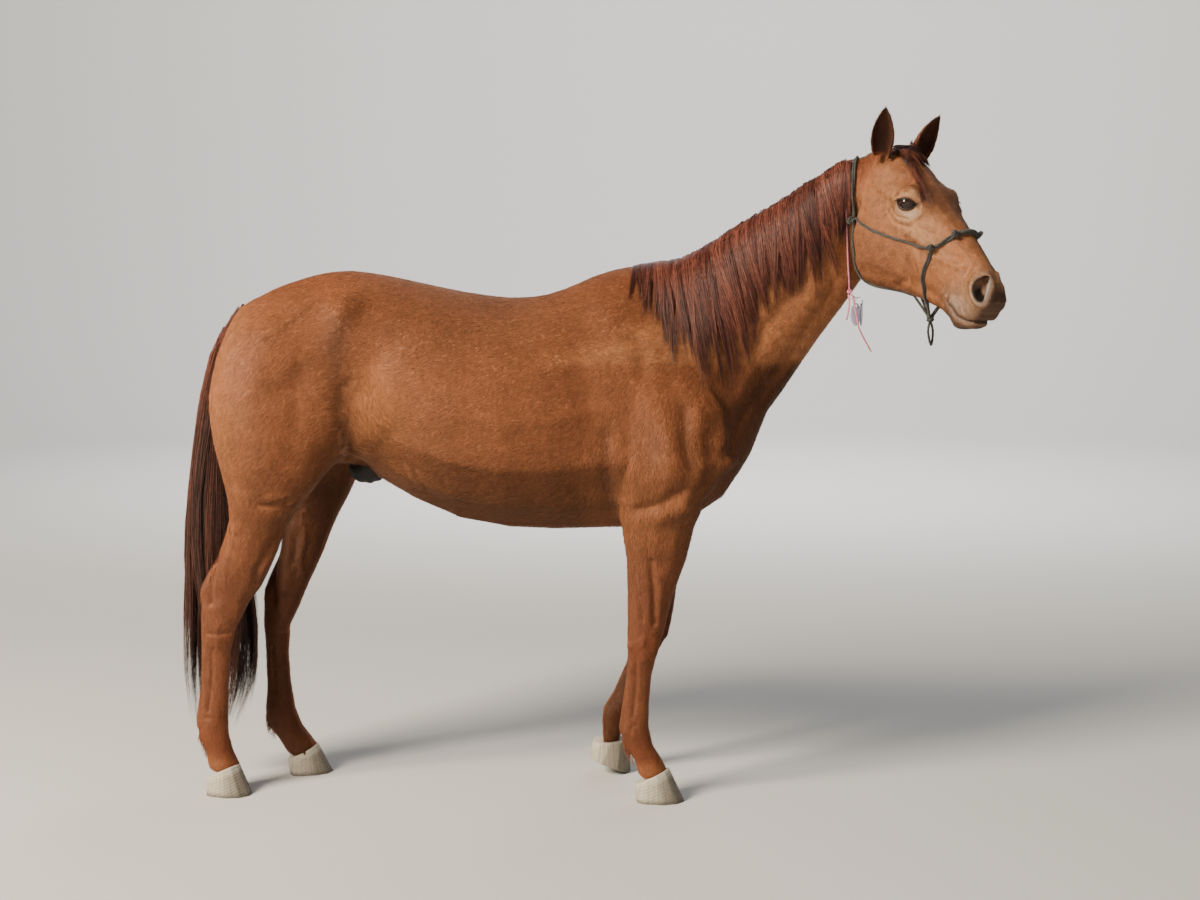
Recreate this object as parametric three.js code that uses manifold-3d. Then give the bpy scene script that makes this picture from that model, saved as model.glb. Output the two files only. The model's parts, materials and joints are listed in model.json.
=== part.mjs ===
// Life-size standing horse: a chestnut gelding of stock-horse build that turns its head to its
// right, in a knotted rope halter and a thin neck cord with small tags.
// Millimetres. +X points forward, +Y to the horse's left and +Z up, with the ground at z = 0.

import * as THREE from 'three';
import { mergeVertices } from 'three/addons/utils/BufferGeometryUtils.js';
import Module from 'manifold-3d';

const wasm = await Module();
wasm.setup();

// Driving dimensions. The station tables further down are drawn for a horse that stands 1508 high
// at the withers.
const GAP = 0.3;                     // clearance between pieces that touch
const EYE_RADIUS = 27;
const EAR_LENGTH = 142;              // from its root under the forelock to the tip
const HOOF_LENGTH = 132;             // sole of a fore hoof, heel to toe
const HOOF_WIDTH = 122;
const MANE_THICKNESS = 15;
const ROPE_DIAMETER = 8;
const NOSEBAND_DIAMETER = 15;
const NECK_CORD_DIAMETER = 5;
const TAG = { width: 32, height: 64, thickness: 2.4, hole: 4.5 };

const COLOURS = {
  coat: '#a4622f',
  legs: '#8f5230',
  mane: '#5e2e24',
  tail: '#3a2420',
  hoof: '#9a9080',
  eye: '#1c120c',
  rope: '#23241f',
  neckCord: '#d8607c',
  tag: '#cfc6e0',
  ring: '#b9bcc0',
};

const group = new THREE.Group();
group.name = 'horse';

function addMesh(name, geometry, color, roughness = 0.8) {
  const material = new THREE.MeshStandardMaterial({ color, roughness, metalness: 0 });
  const mesh = new THREE.Mesh(geometry, material);
  mesh.name = name;
  group.add(mesh);
  return mesh;
}

// ---------------------------------------------------------------- solids

// Closed geometry to a solid that can be joined and cut.
function toSolid(geometry) {
  const bare = geometry.clone();
  bare.deleteAttribute('normal');
  bare.deleteAttribute('uv');
  const merged = mergeVertices(bare, 1e-3);
  const vertProperties = new Float32Array(merged.attributes.position.array);
  const triVerts = new Uint32Array(merged.index.array);
  return new wasm.Manifold(new wasm.Mesh({ numProp: 3, vertProperties, triVerts }));
}

function toGeometry(solid) {
  const mesh = solid.getMesh();
  const geometry = new THREE.BufferGeometry();
  geometry.setAttribute('position', new THREE.BufferAttribute(mesh.vertProperties, 3));
  geometry.setIndex(new THREE.BufferAttribute(mesh.triVerts, 1));
  geometry.computeVertexNormals();
  return geometry;
}

function box(from, to) {
  const size = to.map((value, k) => value - from[k]);
  const geometry = new THREE.BoxGeometry(...size);
  geometry.translate(...to.map((value, k) => (value + from[k]) / 2));
  return toSolid(geometry);
}

function ellipsoid(centre, radii, sides = 14) {
  const geometry = new THREE.SphereGeometry(1, sides, Math.round(sides * 0.7));
  geometry.scale(...radii);
  geometry.translate(...centre);
  return geometry;
}

// A solid as plain faces, without the history of its cuts, so that later cuts stay quick.
function settled(solid) {
  return new wasm.Manifold(solid.getMesh());
}

function joined(solids) {
  return settled(solids.reduce((sum, solid) => sum.add(solid)));
}

// The largest single body of a solid, without the crumbs that a cut can leave.
function mainBody(solid) {
  return settled(solid.decompose().sort((a, b) => b.volume() - a.volume())[0]);
}

// ---------------------------------------------------------------- lofts

function catmullRom(a, b, c, d, f) {
  const slopeB = (c - a) / 2;
  const slopeC = (d - b) / 2;
  const bend = 3 * (c - b) - 2 * slopeB - slopeC;
  const twist = 2 * (b - c) + slopeB + slopeC;
  return b + f * (slopeB + f * (bend + f * twist));
}

// Smooth value of every column of a station table; u runs from 0 to 1 over its rows.
function between(rows, u) {
  const place = THREE.MathUtils.clamp(u, 0, 1) * (rows.length - 1);
  const first = Math.min(Math.floor(place), rows.length - 2);
  const at = (n) => rows[THREE.MathUtils.clamp(n, 0, rows.length - 1)];
  const [a, b, c, d] = [-1, 0, 1, 2].map((n) => at(first + n));
  return b.map((value, k) => catmullRom(a[k], value, c[k], d[k], place - first));
}

// Height and breadth of a rounded section at an angle: 2 is an ellipse, more is boxier.
function roundAt(angle, squareness) {
  const curve = (value) => Math.sign(value) * Math.abs(value) ** (2 / squareness);
  return [curve(Math.cos(angle)), curve(Math.sin(angle))];
}

// Closed body whose rings follow section(u, size, angle). Both ends are domes: over a short
// share of the length the rings shrink to a point as on a sphere.
const DOME_RINGS = 3;

function loft(section, steps, sides, domes = [0.03, 0.03]) {
  const geometry = new THREE.SphereGeometry(1, sides, steps);
  const position = geometry.attributes.position;
  for (let ring = 0; ring <= steps; ring++) {
    const fromEnd = Math.min(ring, steps - ring);
    const dome = ring * 2 < steps ? domes[0] : domes[1];
    const turn = Math.min(fromEnd / DOME_RINGS, 1) * Math.PI / 2;
    const straight = (fromEnd - DOME_RINGS) / (steps - 2 * DOME_RINGS);
    const rest = 1 - domes[0] - domes[1];
    const length = fromEnd < DOME_RINGS ? dome * (1 - Math.cos(turn)) : dome + rest * straight;
    const u = ring * 2 < steps ? length : 1 - length;
    for (let side = 0; side <= sides; side++) {
      const angle = side === sides ? 0 : side / sides * Math.PI * 2;
      const point = section(u, ring === 0 || ring === steps ? 0 : Math.sin(turn), angle);
      position.setXYZ(ring * (sides + 1) + side, point.x, point.y, point.z);
    }
  }
  return outward(geometry);
}

// Turns the faces of a closed geometry outward.
function outward(geometry) {
  const position = geometry.attributes.position;
  const index = geometry.index.array;
  const [a, b, c] = [new THREE.Vector3(), new THREE.Vector3(), new THREE.Vector3()];
  let volume = 0;
  for (let k = 0; k < index.length; k += 3) {
    a.fromBufferAttribute(position, index[k]);
    b.fromBufferAttribute(position, index[k + 1]);
    c.fromBufferAttribute(position, index[k + 2]);
    volume += a.dot(b.cross(c));
  }
  if (volume < 0) geometry.index.array.reverse();
  return geometry;
}

// ---------------------------------------------------------------- trunk and neck

// Stations from the buttocks to the poll. Each row holds the top point (x, y, z), the bottom
// point (x, y, z), the half width, how much wider the section is above (+) than below (-) its
// middle, and its squareness. The neck bends to the right.
const TORSO = [
  [-1062, 0, 1322, -1078, 0, 1090, 150, 0.00, 2.2],     // buttocks
  [-1000, 0, 1388, -1010, 0, 1010, 205, -0.05, 2.2],    // tail head
  [-905, 0, 1438, -915, 0, 960, 245, -0.06, 2.2],       // croup
  [-795, 0, 1477, -795, 0, 945, 262, -0.06, 2.2],       // top of the croup
  [-690, 0, 1487, -690, 0, 940, 262, -0.03, 2.2],       // point of the hip
  [-580, 0, 1464, -590, 0, 885, 270, 0.00, 2.2],        // loin and flank
  [-440, 0, 1441, -450, 0, 805, 294, -0.04, 2.15],      // last ribs
  [-290, 0, 1417, -290, 0, 766, 306, -0.08, 2.1],       // barrel
  [-145, 0, 1420, -130, 0, 757, 292, -0.10, 2.1],       // back
  [-25, 0, 1470, 20, 0, 762, 258, -0.14, 2.1],          // behind the withers
  [95, 0, 1499, 165, 0, 768, 232, -0.22, 2.1],          // withers
  [190, 0, 1501, 300, 0, 806, 205, -0.26, 2.1],         // front of the withers
  [288, 0, 1529, 412, 0, 930, 158, -0.26, 2.1],         // base of the neck
  [395, -10, 1594, 468, -10, 1078, 112, -0.24, 2.1],
  [502, -24, 1662, 556, -16, 1215, 86, -0.20, 2.1],     // middle of the neck
  [606, -44, 1736, 630, -27, 1325, 72, -0.14, 2.1],
  [691, -62, 1786, 703, -30, 1424, 56, -0.06, 2.1],     // throat
  [772, -88, 1808, 782, -38, 1545, 44, 0.00, 2.1],      // behind the poll
];
const TORSO_STEPS = 25;
const TORSO_SIDES = 16;

// Point of the torso's surface, raised by thickness. Angle 0 is the left side, 90 the top.
function torsoPoint(u, size, angle, thickness = 0) {
  const row = between(TORSO, u);
  const ahead = between(TORSO, u + 0.01);
  const behind = between(TORSO, u - 0.01);
  const top = new THREE.Vector3(row[0], row[1], row[2]);
  const bottom = new THREE.Vector3(row[3], row[4], row[5]);
  const travel = new THREE.Vector3(ahead[0] + ahead[3] - behind[0] - behind[3],
    ahead[1] + ahead[4] - behind[1] - behind[4], 0).normalize();
  const left = new THREE.Vector3(-travel.y, travel.x, 0);
  const [side, height] = roundAt(angle, row[8]);
  const upward = top.clone().sub(bottom);
  const halfHeight = upward.length() / 2 + thickness;
  const halfWidth = (row[6] + thickness) * (1 + row[7] * height);
  return top.add(bottom).multiplyScalar(0.5)
    .addScaledVector(upward.normalize(), halfHeight * height * size)
    .addScaledVector(left, halfWidth * side * size);
}

function torso(thickness) {
  const section = (u, size, angle) => torsoPoint(u, size, angle, thickness);
  return toSolid(loft(section, TORSO_STEPS, TORSO_SIDES));
}

// ---------------------------------------------------------------- legs

// Level sections down a leg. Each row holds the height, the back and front edges, the distance
// from the middle plane, the half width and the squareness.
const FORELEG_TOP = [
  [1400, 40, 190, 90, 44, 2.0],       // top of the shoulder blade
  [1250, 10, 290, 132, 84, 2.0],
  [1110, 0, 368, 155, 96, 2.1],
  [1000, 8, 402, 163, 98, 2.1],       // point of the shoulder
  [910, 32, 345, 166, 88, 2.1],
  [850, 50, 288, 164, 74, 2.1],       // elbow
];

const RIGHT_FORELEG = [
  ...FORELEG_TOP,
  [787, 66, 270, 160, 62, 2.1],
  [717, 77, 256, 154, 56, 2.1],       // forearm
  [646, 81, 228, 148, 51, 2.1],
  [575, 82, 207, 144, 46, 2.1],
  [504, 82, 190, 140, 42, 2.2],
  [445, 82, 173, 138, 43, 2.4],       // knee
  [392, 83, 158, 135, 35, 2.3],
  [346, 77, 150, 132, 27, 2.1],       // cannon
  [289, 69, 146, 129, 26, 2.1],
  [231, 60, 144, 127, 31, 2.1],
  [190, 58, 147, 126, 35, 2.1],       // fetlock
  [150, 78, 160, 122, 31, 2.1],
  [118, 100, 180, 118, 33, 2.1],      // pastern
  [90, 108, 196, 115, 44, 2.1],       // coronet
  [58, 118, 206, 112, 44, 2.1],
];

const LEFT_FORELEG = [
  ...FORELEG_TOP,
  [780, 68, 268, 163, 62, 2.1],
  [710, 86, 254, 158, 56, 2.1],       // forearm
  [640, 100, 236, 155, 51, 2.1],
  [552, 110, 219, 153, 46, 2.1],
  [492, 112, 212, 152, 42, 2.2],
  [440, 110, 203, 151, 43, 2.4],      // knee, a little bent
  [390, 96, 180, 150, 35, 2.3],
  [325, 66, 143, 150, 27, 2.1],       // cannon, slanting back
  [249, 34, 110, 150, 26, 2.1],
  [203, 4, 86, 150, 31, 2.1],
  [163, -10, 68, 151, 35, 2.1],       // fetlock
  [130, -10, 60, 152, 31, 2.1],
  [105, -20, 54, 153, 35, 2.1],       // pastern
  [80, -32, 50, 154, 42, 2.1],        // coronet
  [55, -20, 48, 155, 40, 2.1],
];

const HINDLEG_TOP = [
  [1385, -985, -730, 112, 86, 2.0],   // croup muscles
  [1285, -1058, -690, 145, 122, 2.1],
  [1175, -1090, -678, 160, 125, 2.1],
  [1080, -1088, -676, 168, 120, 2.1],
];

const RIGHT_HINDLEG = [
  ...HINDLEG_TOP,
  [995, -1070, -690, 174, 106, 2.1],  // stifle
  [923, -1051, -738, 172, 90, 2.1],
  [852, -1032, -808, 166, 73, 2.1],
  [781, -1041, -862, 158, 60, 2.1],   // gaskin
  [710, -1070, -892, 150, 52, 2.1],
  [640, -1108, -929, 143, 44, 2.2],
  [595, -1122, -957, 138, 41, 2.4],   // hock
  [560, -1123, -985, 134, 41, 2.4],
  [509, -1127, -1013, 129, 39, 2.4],
  [470, -1128, -1034, 126, 33, 2.2],
  [410, -1130, -1045, 122, 27, 2.1],  // cannon
  [345, -1133, -1051, 119, 26, 2.1],
  [278, -1139, -1056, 116, 27, 2.1],
  [222, -1152, -1059, 113, 34, 2.1],
  [185, -1150, -1060, 111, 35, 2.1],  // fetlock
  [150, -1136, -1055, 109, 31, 2.1],
  [120, -1126, -1047, 106, 33, 2.1],  // pastern
  [92, -1124, -1034, 103, 43, 2.1],   // coronet
  [60, -1118, -1030, 101, 43, 2.1],
];

const LEFT_HINDLEG = [
  ...HINDLEG_TOP,
  [995, -1050, -660, 172, 106, 2.1],  // stifle
  [900, -990, -698, 168, 90, 2.1],
  [819, -948, -760, 160, 73, 2.1],
  [744, -942, -788, 153, 60, 2.1],    // gaskin
  [669, -958, -822, 147, 52, 2.1],
  [600, -988, -857, 141, 44, 2.2],
  [552, -1004, -880, 137, 41, 2.4],   // hock
  [512, -1008, -896, 133, 41, 2.4],
  [465, -1010, -918, 130, 39, 2.4],
  [421, -1007, -935, 127, 33, 2.2],
  [360, -1002, -933, 124, 27, 2.1],   // cannon
  [300, -999, -930, 122, 26, 2.1],
  [240, -1002, -924, 120, 27, 2.1],
  [190, -1007, -914, 118, 34, 2.1],
  [155, -1006, -902, 117, 35, 2.1],   // fetlock
  [125, -990, -884, 116, 31, 2.1],
  [100, -966, -862, 115, 34, 2.1],    // pastern
  [76, -948, -846, 114, 43, 2.1],     // coronet
  [50, -938, -838, 113, 43, 2.1],
];

const LEG_STEPS = 20;
const LEG_SIDES = 12;

function leg(rows, side) {
  const section = (u, size, angle) => {
    const [height, back, front, middle, halfWidth, squareness] = between(rows, u);
    const [along, across] = roundAt(angle, squareness);
    const x = (back + front) / 2 + (front - back) / 2 * along * size;
    return new THREE.Vector3(x, side * middle + halfWidth * across * size, height);
  };
  return loft(section, LEG_STEPS, LEG_SIDES);
}

const RIGHT = -1;
const LEFT = 1;

// ---------------------------------------------------------------- head

const POLL = new THREE.Vector3(816, -127, 1829);
const HEAD_TURN = THREE.MathUtils.degToRad(52);      // to the right
const HEAD_PITCH = THREE.MathUtils.degToRad(41);     // nose down
const HEAD_TILT = THREE.MathUtils.degToRad(-1.5);

// Head frame: x from the poll to the muzzle, y to the horse's left, z out of the forehead.
const headFrame = new THREE.Matrix4().makeTranslation(POLL)
  .multiply(new THREE.Matrix4().makeRotationZ(-HEAD_TURN))
  .multiply(new THREE.Matrix4().makeRotationY(HEAD_PITCH))
  .multiply(new THREE.Matrix4().makeRotationX(HEAD_TILT));

// Stations from the poll to the lips: place, top, bottom, half width, how much wider the
// section is above its middle, and squareness.
const HEAD = [
  [-50, -34, -150, 46, 0.00, 2.1],      // behind the poll
  [-10, -12, -196, 62, 0.02, 2.2],
  [35, 3, -246, 74, 0.00, 2.6],
  [80, 11, -290, 83, 0.00, 3.1],        // forehead and cheeks
  [135, 14, -314, 85, 0.02, 3.2],
  [190, 10, -318, 83, 0.06, 3.0],       // eyes
  [245, 2, -300, 76, 0.10, 2.8],
  [300, -3, -270, 66, 0.12, 2.4],       // bridge of the nose
  [355, -7, -247, 58, 0.10, 2.3],
  [405, -13, -228, 52, 0.08, 2.2],
  [450, -20, -213, 48, 0.06, 2.2],      // bars of the mouth
  [490, -30, -204, 45, 0.06, 2.3],      // nostrils
  [522, -46, -188, 43, 0.04, 2.3],
  [550, -72, -160, 36, 0.00, 2.2],      // lips
];
const HEAD_STEPS = 22;
const HEAD_SIDES = 16;

// Rises and hollows of the head: centre, the reach along each axis, and the height. The side
// ones are mirrored.
const HEAD_SIDE_RISES = [
  [[192, 84, -42], [40, 60, 36], 30],    // rim of the eye
  [[135, 78, -205], [78, 60, 84], 7],    // cheek
  [[255, 60, -105], [70, 50, 26], 5],    // facial crest
  [[138, 50, 6], [26, 30, 26], -5],      // hollow over the eye
  [[500, 46, -64], [32, 34, 30], 9],     // nostril
];
const HEAD_MIDDLE_RISES = [
  [[496, 0, -206], [28, 46, 30], 9],     // chin
  [[545, 0, -90], [30, 50, 40], 8],      // upper lip
  [[455, 0, -214], [26, 60, 24], -5],    // groove behind the chin
];

function mirrored(rises) {
  return rises.flatMap(([[x, y, z], ...rest]) => [[[x, y, z], ...rest], [[x, -y, z], ...rest]]);
}

const HEAD_RISES = [...mirrored(HEAD_SIDE_RISES), ...HEAD_MIDDLE_RISES];

function headSection(u, size, angle, thickness) {
  const [place, top, bottom, halfWidth, wider, squareness] = between(HEAD, u);
  const [side, height] = roundAt(angle, squareness);
  const middle = (top + bottom) / 2;
  const z = middle + (top - bottom) / 2 * height * size;
  const point = new THREE.Vector3(place, halfWidth * (1 + wider * height) * side * size, z);
  const outwards = new THREE.Vector3(0, point.y, point.z - middle).normalize();
  let rise = 0;
  for (const [[x, y, depth], [rx, ry, rz], height] of HEAD_RISES) {
    const far = ((place - x) / rx) ** 2 + ((point.y - y) / ry) ** 2 + ((point.z - depth) / rz) ** 2;
    rise += height * Math.exp(-far);
  }
  return point.addScaledVector(outwards, (rise + thickness) * size);
}

function headSolid(thickness) {
  const section = (u, size, angle) => headSection(u, size, angle, thickness);
  return toSolid(loft(section, HEAD_STEPS, HEAD_SIDES, [0.03, 0.02]).applyMatrix4(headFrame));
}

// ---------------------------------------------------------------- hooves

// A hoof stands with its coronet centre at (x, y), turned out by a number of degrees. A lifted
// heel rolls it over its toe, and the toe is worn to a small flat.
const CORONET = { back: -46, front: 52, halfWidth: 47, frontHeight: 92, backHeight: 44 };
const TOE_SHARE = 0.75;               // of the sole's length, before the coronet's centre
const HEEL_SHARE = 0.27;              // and behind it
const TOE_FLAT = 5;
const HOOF_STEPS = 7;
const HOOF_SIDES = 12;
const FAR = 3000;                     // further than any part of the horse

function hoof({ x, y, turnOut, lift = 0, size = 1 }, grow = 0) {
  const toe = HOOF_LENGTH * TOE_SHARE;
  const heel = -HOOF_LENGTH * HEEL_SHARE;
  const section = (u, scale, angle) => {
    const [along, across] = roundAt(angle, Math.cos(angle) > 0 ? 2.1 : 2.8);
    const flare = 1 - u;
    const front = THREE.MathUtils.lerp(toe, CORONET.front, flare);
    const back = THREE.MathUtils.lerp(heel, CORONET.back, flare);
    const reach = (along > 0 ? front : -back) + grow;
    const px = reach * along * scale;
    const share = (px - CORONET.back) / (CORONET.front - CORONET.back);
    const rim = THREE.MathUtils.lerp(CORONET.backHeight, CORONET.frontHeight, share);
    const halfWidth = THREE.MathUtils.lerp(HOOF_WIDTH / 2, CORONET.halfWidth, flare) + grow;
    return new THREE.Vector3(px, halfWidth * across * scale, (rim + 2 * grow) * flare - grow)
      .multiplyScalar(size);
  };
  const geometry = loft(section, HOOF_STEPS, HOOF_SIDES, [0, 0]);
  geometry.rotateY(THREE.MathUtils.degToRad(lift));
  geometry.rotateZ(THREE.MathUtils.degToRad(turnOut * Math.sign(y)));
  geometry.computeBoundingBox();
  const drop = geometry.boundingBox.min.z + (lift ? TOE_FLAT : 0) + grow;
  geometry.translate(x, y, -drop);
  const solid = toSolid(geometry);
  return lift ? solid.subtract(box([-FAR, -FAR, -FAR], [FAR, FAR, 0])) : solid;
}

const HOOVES = {
  hoof_fore_right: { x: 150, y: -114, turnOut: 14 },
  hoof_fore_left: { x: -4, y: 154, turnOut: 4, lift: 25 },
  hoof_hind_right: { x: -1080, y: -103, turnOut: 24, size: 0.94 },
  hoof_hind_left: { x: -898, y: 114, turnOut: 4, size: 0.94 },
};

// ---------------------------------------------------------------- one body, parted by cuts

const sheath = ellipsoid([-655, 0, 925], [75, 42, 52]);

// The eyeball sits in its socket behind an almond opening between the lids.
function headPoint(x, y, z) {
  return new THREE.Vector3(x, y, z).applyMatrix4(headFrame);
}

const EYE_PLACE = [188, 74, -46];
const EYE_SEGMENTS = [10, 7];
const EYE_AIM = 28;                   // how far the eyes look forward, in degrees
const LID_OPENING = { reach: [25, 24, 15], slant: -22, out: 33 };

function eyeball(side, grow = 0) {
  const [x, y, z] = EYE_PLACE;
  const geometry = new THREE.SphereGeometry(EYE_RADIUS + grow, ...EYE_SEGMENTS);
  geometry.translate(x, side * y, z);
  return toSolid(geometry.applyMatrix4(headFrame));
}

function lidOpening(side) {
  const [x, y, z] = EYE_PLACE;
  const { reach, slant, out } = LID_OPENING;
  const geometry = ellipsoid([0, 0, 0], reach, 12);
  geometry.rotateY(THREE.MathUtils.degToRad(slant));
  geometry.translate(0, side * out, 0);
  geometry.rotateZ(THREE.MathUtils.degToRad(-side * EYE_AIM));
  geometry.translate(x, side * y, z);
  return toSolid(geometry.applyMatrix4(headFrame));
}

let wholeBody = joined([
  torso(0),
  toSolid(leg(RIGHT_FORELEG, RIGHT)),
  toSolid(leg(LEFT_FORELEG, LEFT)),
  toSolid(leg(RIGHT_HINDLEG, RIGHT)),
  toSolid(leg(LEFT_HINDLEG, LEFT)),
  toSolid(sheath),
  headSolid(0),
]);

for (const place of Object.values(HOOVES)) wholeBody = wholeBody.subtract(hoof(place, 2 * GAP));
wholeBody = mainBody(wholeBody);
for (const side of [RIGHT, LEFT]) {
  wholeBody = wholeBody.subtract(eyeball(side, GAP)).subtract(lidOpening(side));
}

// A slab GAP thick parts two nodes; each keeps what lies on its own side of the plane.
function cutter(origin, direction, grow) {
  const size = 2 * FAR;
  const geometry = new THREE.BoxGeometry(size, size, size);
  geometry.translate(0, 0, size / 2 - grow);
  const turn = new THREE.Quaternion()
    .setFromUnitVectors(new THREE.Vector3(0, 0, 1), direction.clone().normalize());
  geometry.applyQuaternion(turn);
  geometry.translate(origin.x, origin.y, origin.z);
  return toSolid(geometry);
}

function partAt(solid, origin, direction) {
  const far = solid.intersect(cutter(origin, direction, -GAP / 2));
  const near = solid.subtract(cutter(origin, direction, GAP / 2));
  return [mainBody(near), mainBody(far)];
}

const LEG_CUTS = {
  foreleg_right: [[4, -400, 0], [430, -58, 850]],
  foreleg_left: [[4, 58, 0], [430, 400, 850]],
  hindleg_right: [[-1250, -400, 0], [-640, -0.15, 905]],
  hindleg_left: [[-1250, 0.15, 0], [-640, 400, 905]],
};

const legs = {};
let body = wholeBody;
for (const [name, [from, to]] of Object.entries(LEG_CUTS)) {
  legs[name] = mainBody(wholeBody.intersect(box(from, to)));
  body = body.subtract(box(from.map((v) => v - GAP), to.map((v) => v + GAP)));
}
body = mainBody(body);

const NECK_BASE = new THREE.Vector3(345, 0, 1225);
const NECK_BASE_NORMAL = new THREE.Vector3(0.96, 0, 0.28);
const HEAD_BASE = new THREE.Vector3(712, -110, 1640);
const HEAD_BASE_NORMAL = new THREE.Vector3(0.78, -0.30, 0.0);
const [trunk, neckAndHead] = partAt(body, NECK_BASE, NECK_BASE_NORMAL);
const [neck, head] = partAt(neckAndHead, HEAD_BASE, HEAD_BASE_NORMAL);

addMesh('trunk', toGeometry(trunk), COLOURS.coat);
addMesh('neck', toGeometry(neck), COLOURS.coat);
addMesh('head', toGeometry(head), COLOURS.coat);
for (const [name, solid] of Object.entries(legs)) addMesh(name, toGeometry(solid), COLOURS.legs);
for (const [name, place] of Object.entries(HOOVES)) {
  addMesh(name, toGeometry(hoof(place)), COLOURS.hoof, 0.5);
}
addMesh('eye_right', toGeometry(eyeball(RIGHT)), COLOURS.eye, 0.1);
addMesh('eye_left', toGeometry(eyeball(LEFT)), COLOURS.eye, 0.1);

// ---------------------------------------------------------------- ears

// Stations from the base to the tip: half width, depth behind the rim, and how far the front
// surface is hollowed (negative bulges forward).
const EAR = [
  [24, 24, -14],
  [31, 27, 4],
  [34, 27, 16],
  [32, 25, 16],
  [26, 20, 12],
  [16, 13, 6],
  [6, 6, 1],
];
const EAR_AXES = { [RIGHT]: [-0.40, -0.20, 0.90], [LEFT]: [-0.20, 0.02, 0.96] };
const EAR_ROOT = [26, 70, -26];
const EAR_STEPS = 10;
const EAR_SIDES = 8;
const EAR_DOMES = [0.02, 0.04];

function ear(side) {
  const axis = new THREE.Vector3(...EAR_AXES[side]).normalize();
  const opening = new THREE.Vector3(0.9, side * 0.12, 0.2);
  opening.addScaledVector(axis, -opening.dot(axis)).normalize();
  const across = new THREE.Vector3().crossVectors(axis, opening);
  const section = (u, size, angle) => {
    const [halfWidth, depth, hollow] = between(EAR, u);
    const [wide, deep] = [Math.cos(angle), Math.sin(angle)];
    const back = deep > 0 ? depth * deep : -hollow * deep;
    return new THREE.Vector3(EAR_ROOT[0], side * EAR_ROOT[1], EAR_ROOT[2])
      .addScaledVector(axis, u * EAR_LENGTH)
      .addScaledVector(across, halfWidth * wide * size)
      .addScaledVector(opening, -back * size);
  };
  return toSolid(loft(section, EAR_STEPS, EAR_SIDES, EAR_DOMES).applyMatrix4(headFrame));
}

const ears = {};
for (const [side, word] of [[RIGHT, 'right'], [LEFT, 'left']]) {
  ears[word] = mainBody(ear(side).subtract(headSolid(2 * GAP)));
  addMesh(`ear_${word}`, toGeometry(ears[word]), COLOURS.coat);
}

// ---------------------------------------------------------------- tail, mane and forelock

// Level sections of the tail: height, back edge, front edge, middle and half width.
const TAIL = [
  [1372, -1060, -1022, 0, 30],          // dock
  [1330, -1090, -1035, 2, 40],
  [1250, -1128, -1050, 4, 46],
  [1130, -1160, -1062, 6, 50],
  [980, -1184, -1058, 8, 52],
  [800, -1208, -1045, 10, 52],
  [640, -1224, -1020, 10, 50],
  [480, -1232, -1000, 10, 44],
  [340, -1234, -995, 10, 36],
  [220, -1220, -1010, 10, 27],
  [130, -1205, -1080, 10, 15],
];

function tailSection(u, size, angle) {
  const [height, back, front, middle, halfWidth] = between(TAIL, u);
  const x = (back + front) / 2 + (front - back) / 2 * Math.cos(angle) * size;
  return new THREE.Vector3(x, middle + halfWidth * Math.sin(angle) * size, height);
}

const TAIL_STEPS = 14;
const TAIL_SIDES = 8;
const tail = mainBody(toSolid(loft(tailSection, TAIL_STEPS, TAIL_SIDES)).subtract(torso(2 * GAP)));
addMesh('tail', toGeometry(tail), COLOURS.tail);

// The mane falls on the right of the crest. Stations along the neck: place on the torso, the
// angle of its lower edge and its thickness.
const MANE = [
  [0.580, 108, 5],
  [0.620, 134, 9],
  [0.660, 158, 12],
  [0.700, 178, 14],
  [0.740, 201, MANE_THICKNESS],
  [0.780, 206, MANE_THICKNESS],
  [0.820, 192, MANE_THICKNESS],
  [0.860, 186, MANE_THICKNESS],
  [0.895, 176, 14],
  [0.928, 152, 11],
];
const MANE_LEFT_EDGE = 80;
const MANE_ROOT = 14;                 // how far the mane runs into the neck before it is cut
const MANE_STEPS = 13;
const MANE_SIDES = 16;
const MANE_DOMES = [0.02, 0.02];

function maneSection(u, size, angle) {
  const [place, lowerEdge, thickness] = between(MANE, u);
  const middle = (MANE_LEFT_EDGE + lowerEdge) / 2;
  const spread = (lowerEdge - MANE_LEFT_EDGE) / 2 * Math.cos(angle) * size;
  const depth = Math.sin(angle) * size;
  const lift = depth > 0 ? thickness * depth : MANE_ROOT * depth;
  return torsoPoint(place, 1, THREE.MathUtils.degToRad(middle + spread), lift);
}

const maneWithRoot = toSolid(loft(maneSection, MANE_STEPS, MANE_SIDES, MANE_DOMES));
const mane = mainBody(maneWithRoot.subtract(torso(2 * GAP)).subtract(headSolid(2 * GAP)));

const FORELOCK_FORMS = [
  [[62, 8, 9], [82, 30, 15]],
  [[4, 0, 0], [38, 34, 22]],
];
const forelock = mainBody(joined(FORELOCK_FORMS
  .map((form) => toSolid(ellipsoid(...form, 8).applyMatrix4(headFrame))))
  .subtract(headSolid(2 * GAP))
  .subtract(torso(2 * GAP)));
addMesh('mane', toGeometry(mane), COLOURS.mane);
addMesh('forelock', toGeometry(forelock), COLOURS.mane);
const covered = joined([wholeBody, ears.right, ears.left, mane]);

// ---------------------------------------------------------------- halter

const ROPE_SIDES = 6;
const ROPE_CLEARANCE = 4;             // between the flat facets of the head and a rope
const KNOT_RADIUS = 12;
const HELD_ROPE_STEP = 3.8;           // step of a rope that lies on the head, in diameters
const coveredMesh = new THREE.Mesh(toGeometry(covered));
const ray = new THREE.Raycaster();

// The point of the covered head and neck under a rough place, seen from outside towards a core.
const LOOK_FROM = 70;                 // how far outside the rough place the look starts
function onSkin(place, core, rise) {
  const inwards = core.clone().sub(place).normalize();
  const start = place.clone().addScaledVector(inwards, -LOOK_FROM);
  ray.set(start, inwards);
  const hit = ray.intersectObject(coveredMesh)[0];
  return hit ? hit.point.clone().addScaledVector(inwards, -rise) : place;
}

// Waypoints to a route that follows the skin with short steps between them.
const LAY_STEP = 14;

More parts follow.
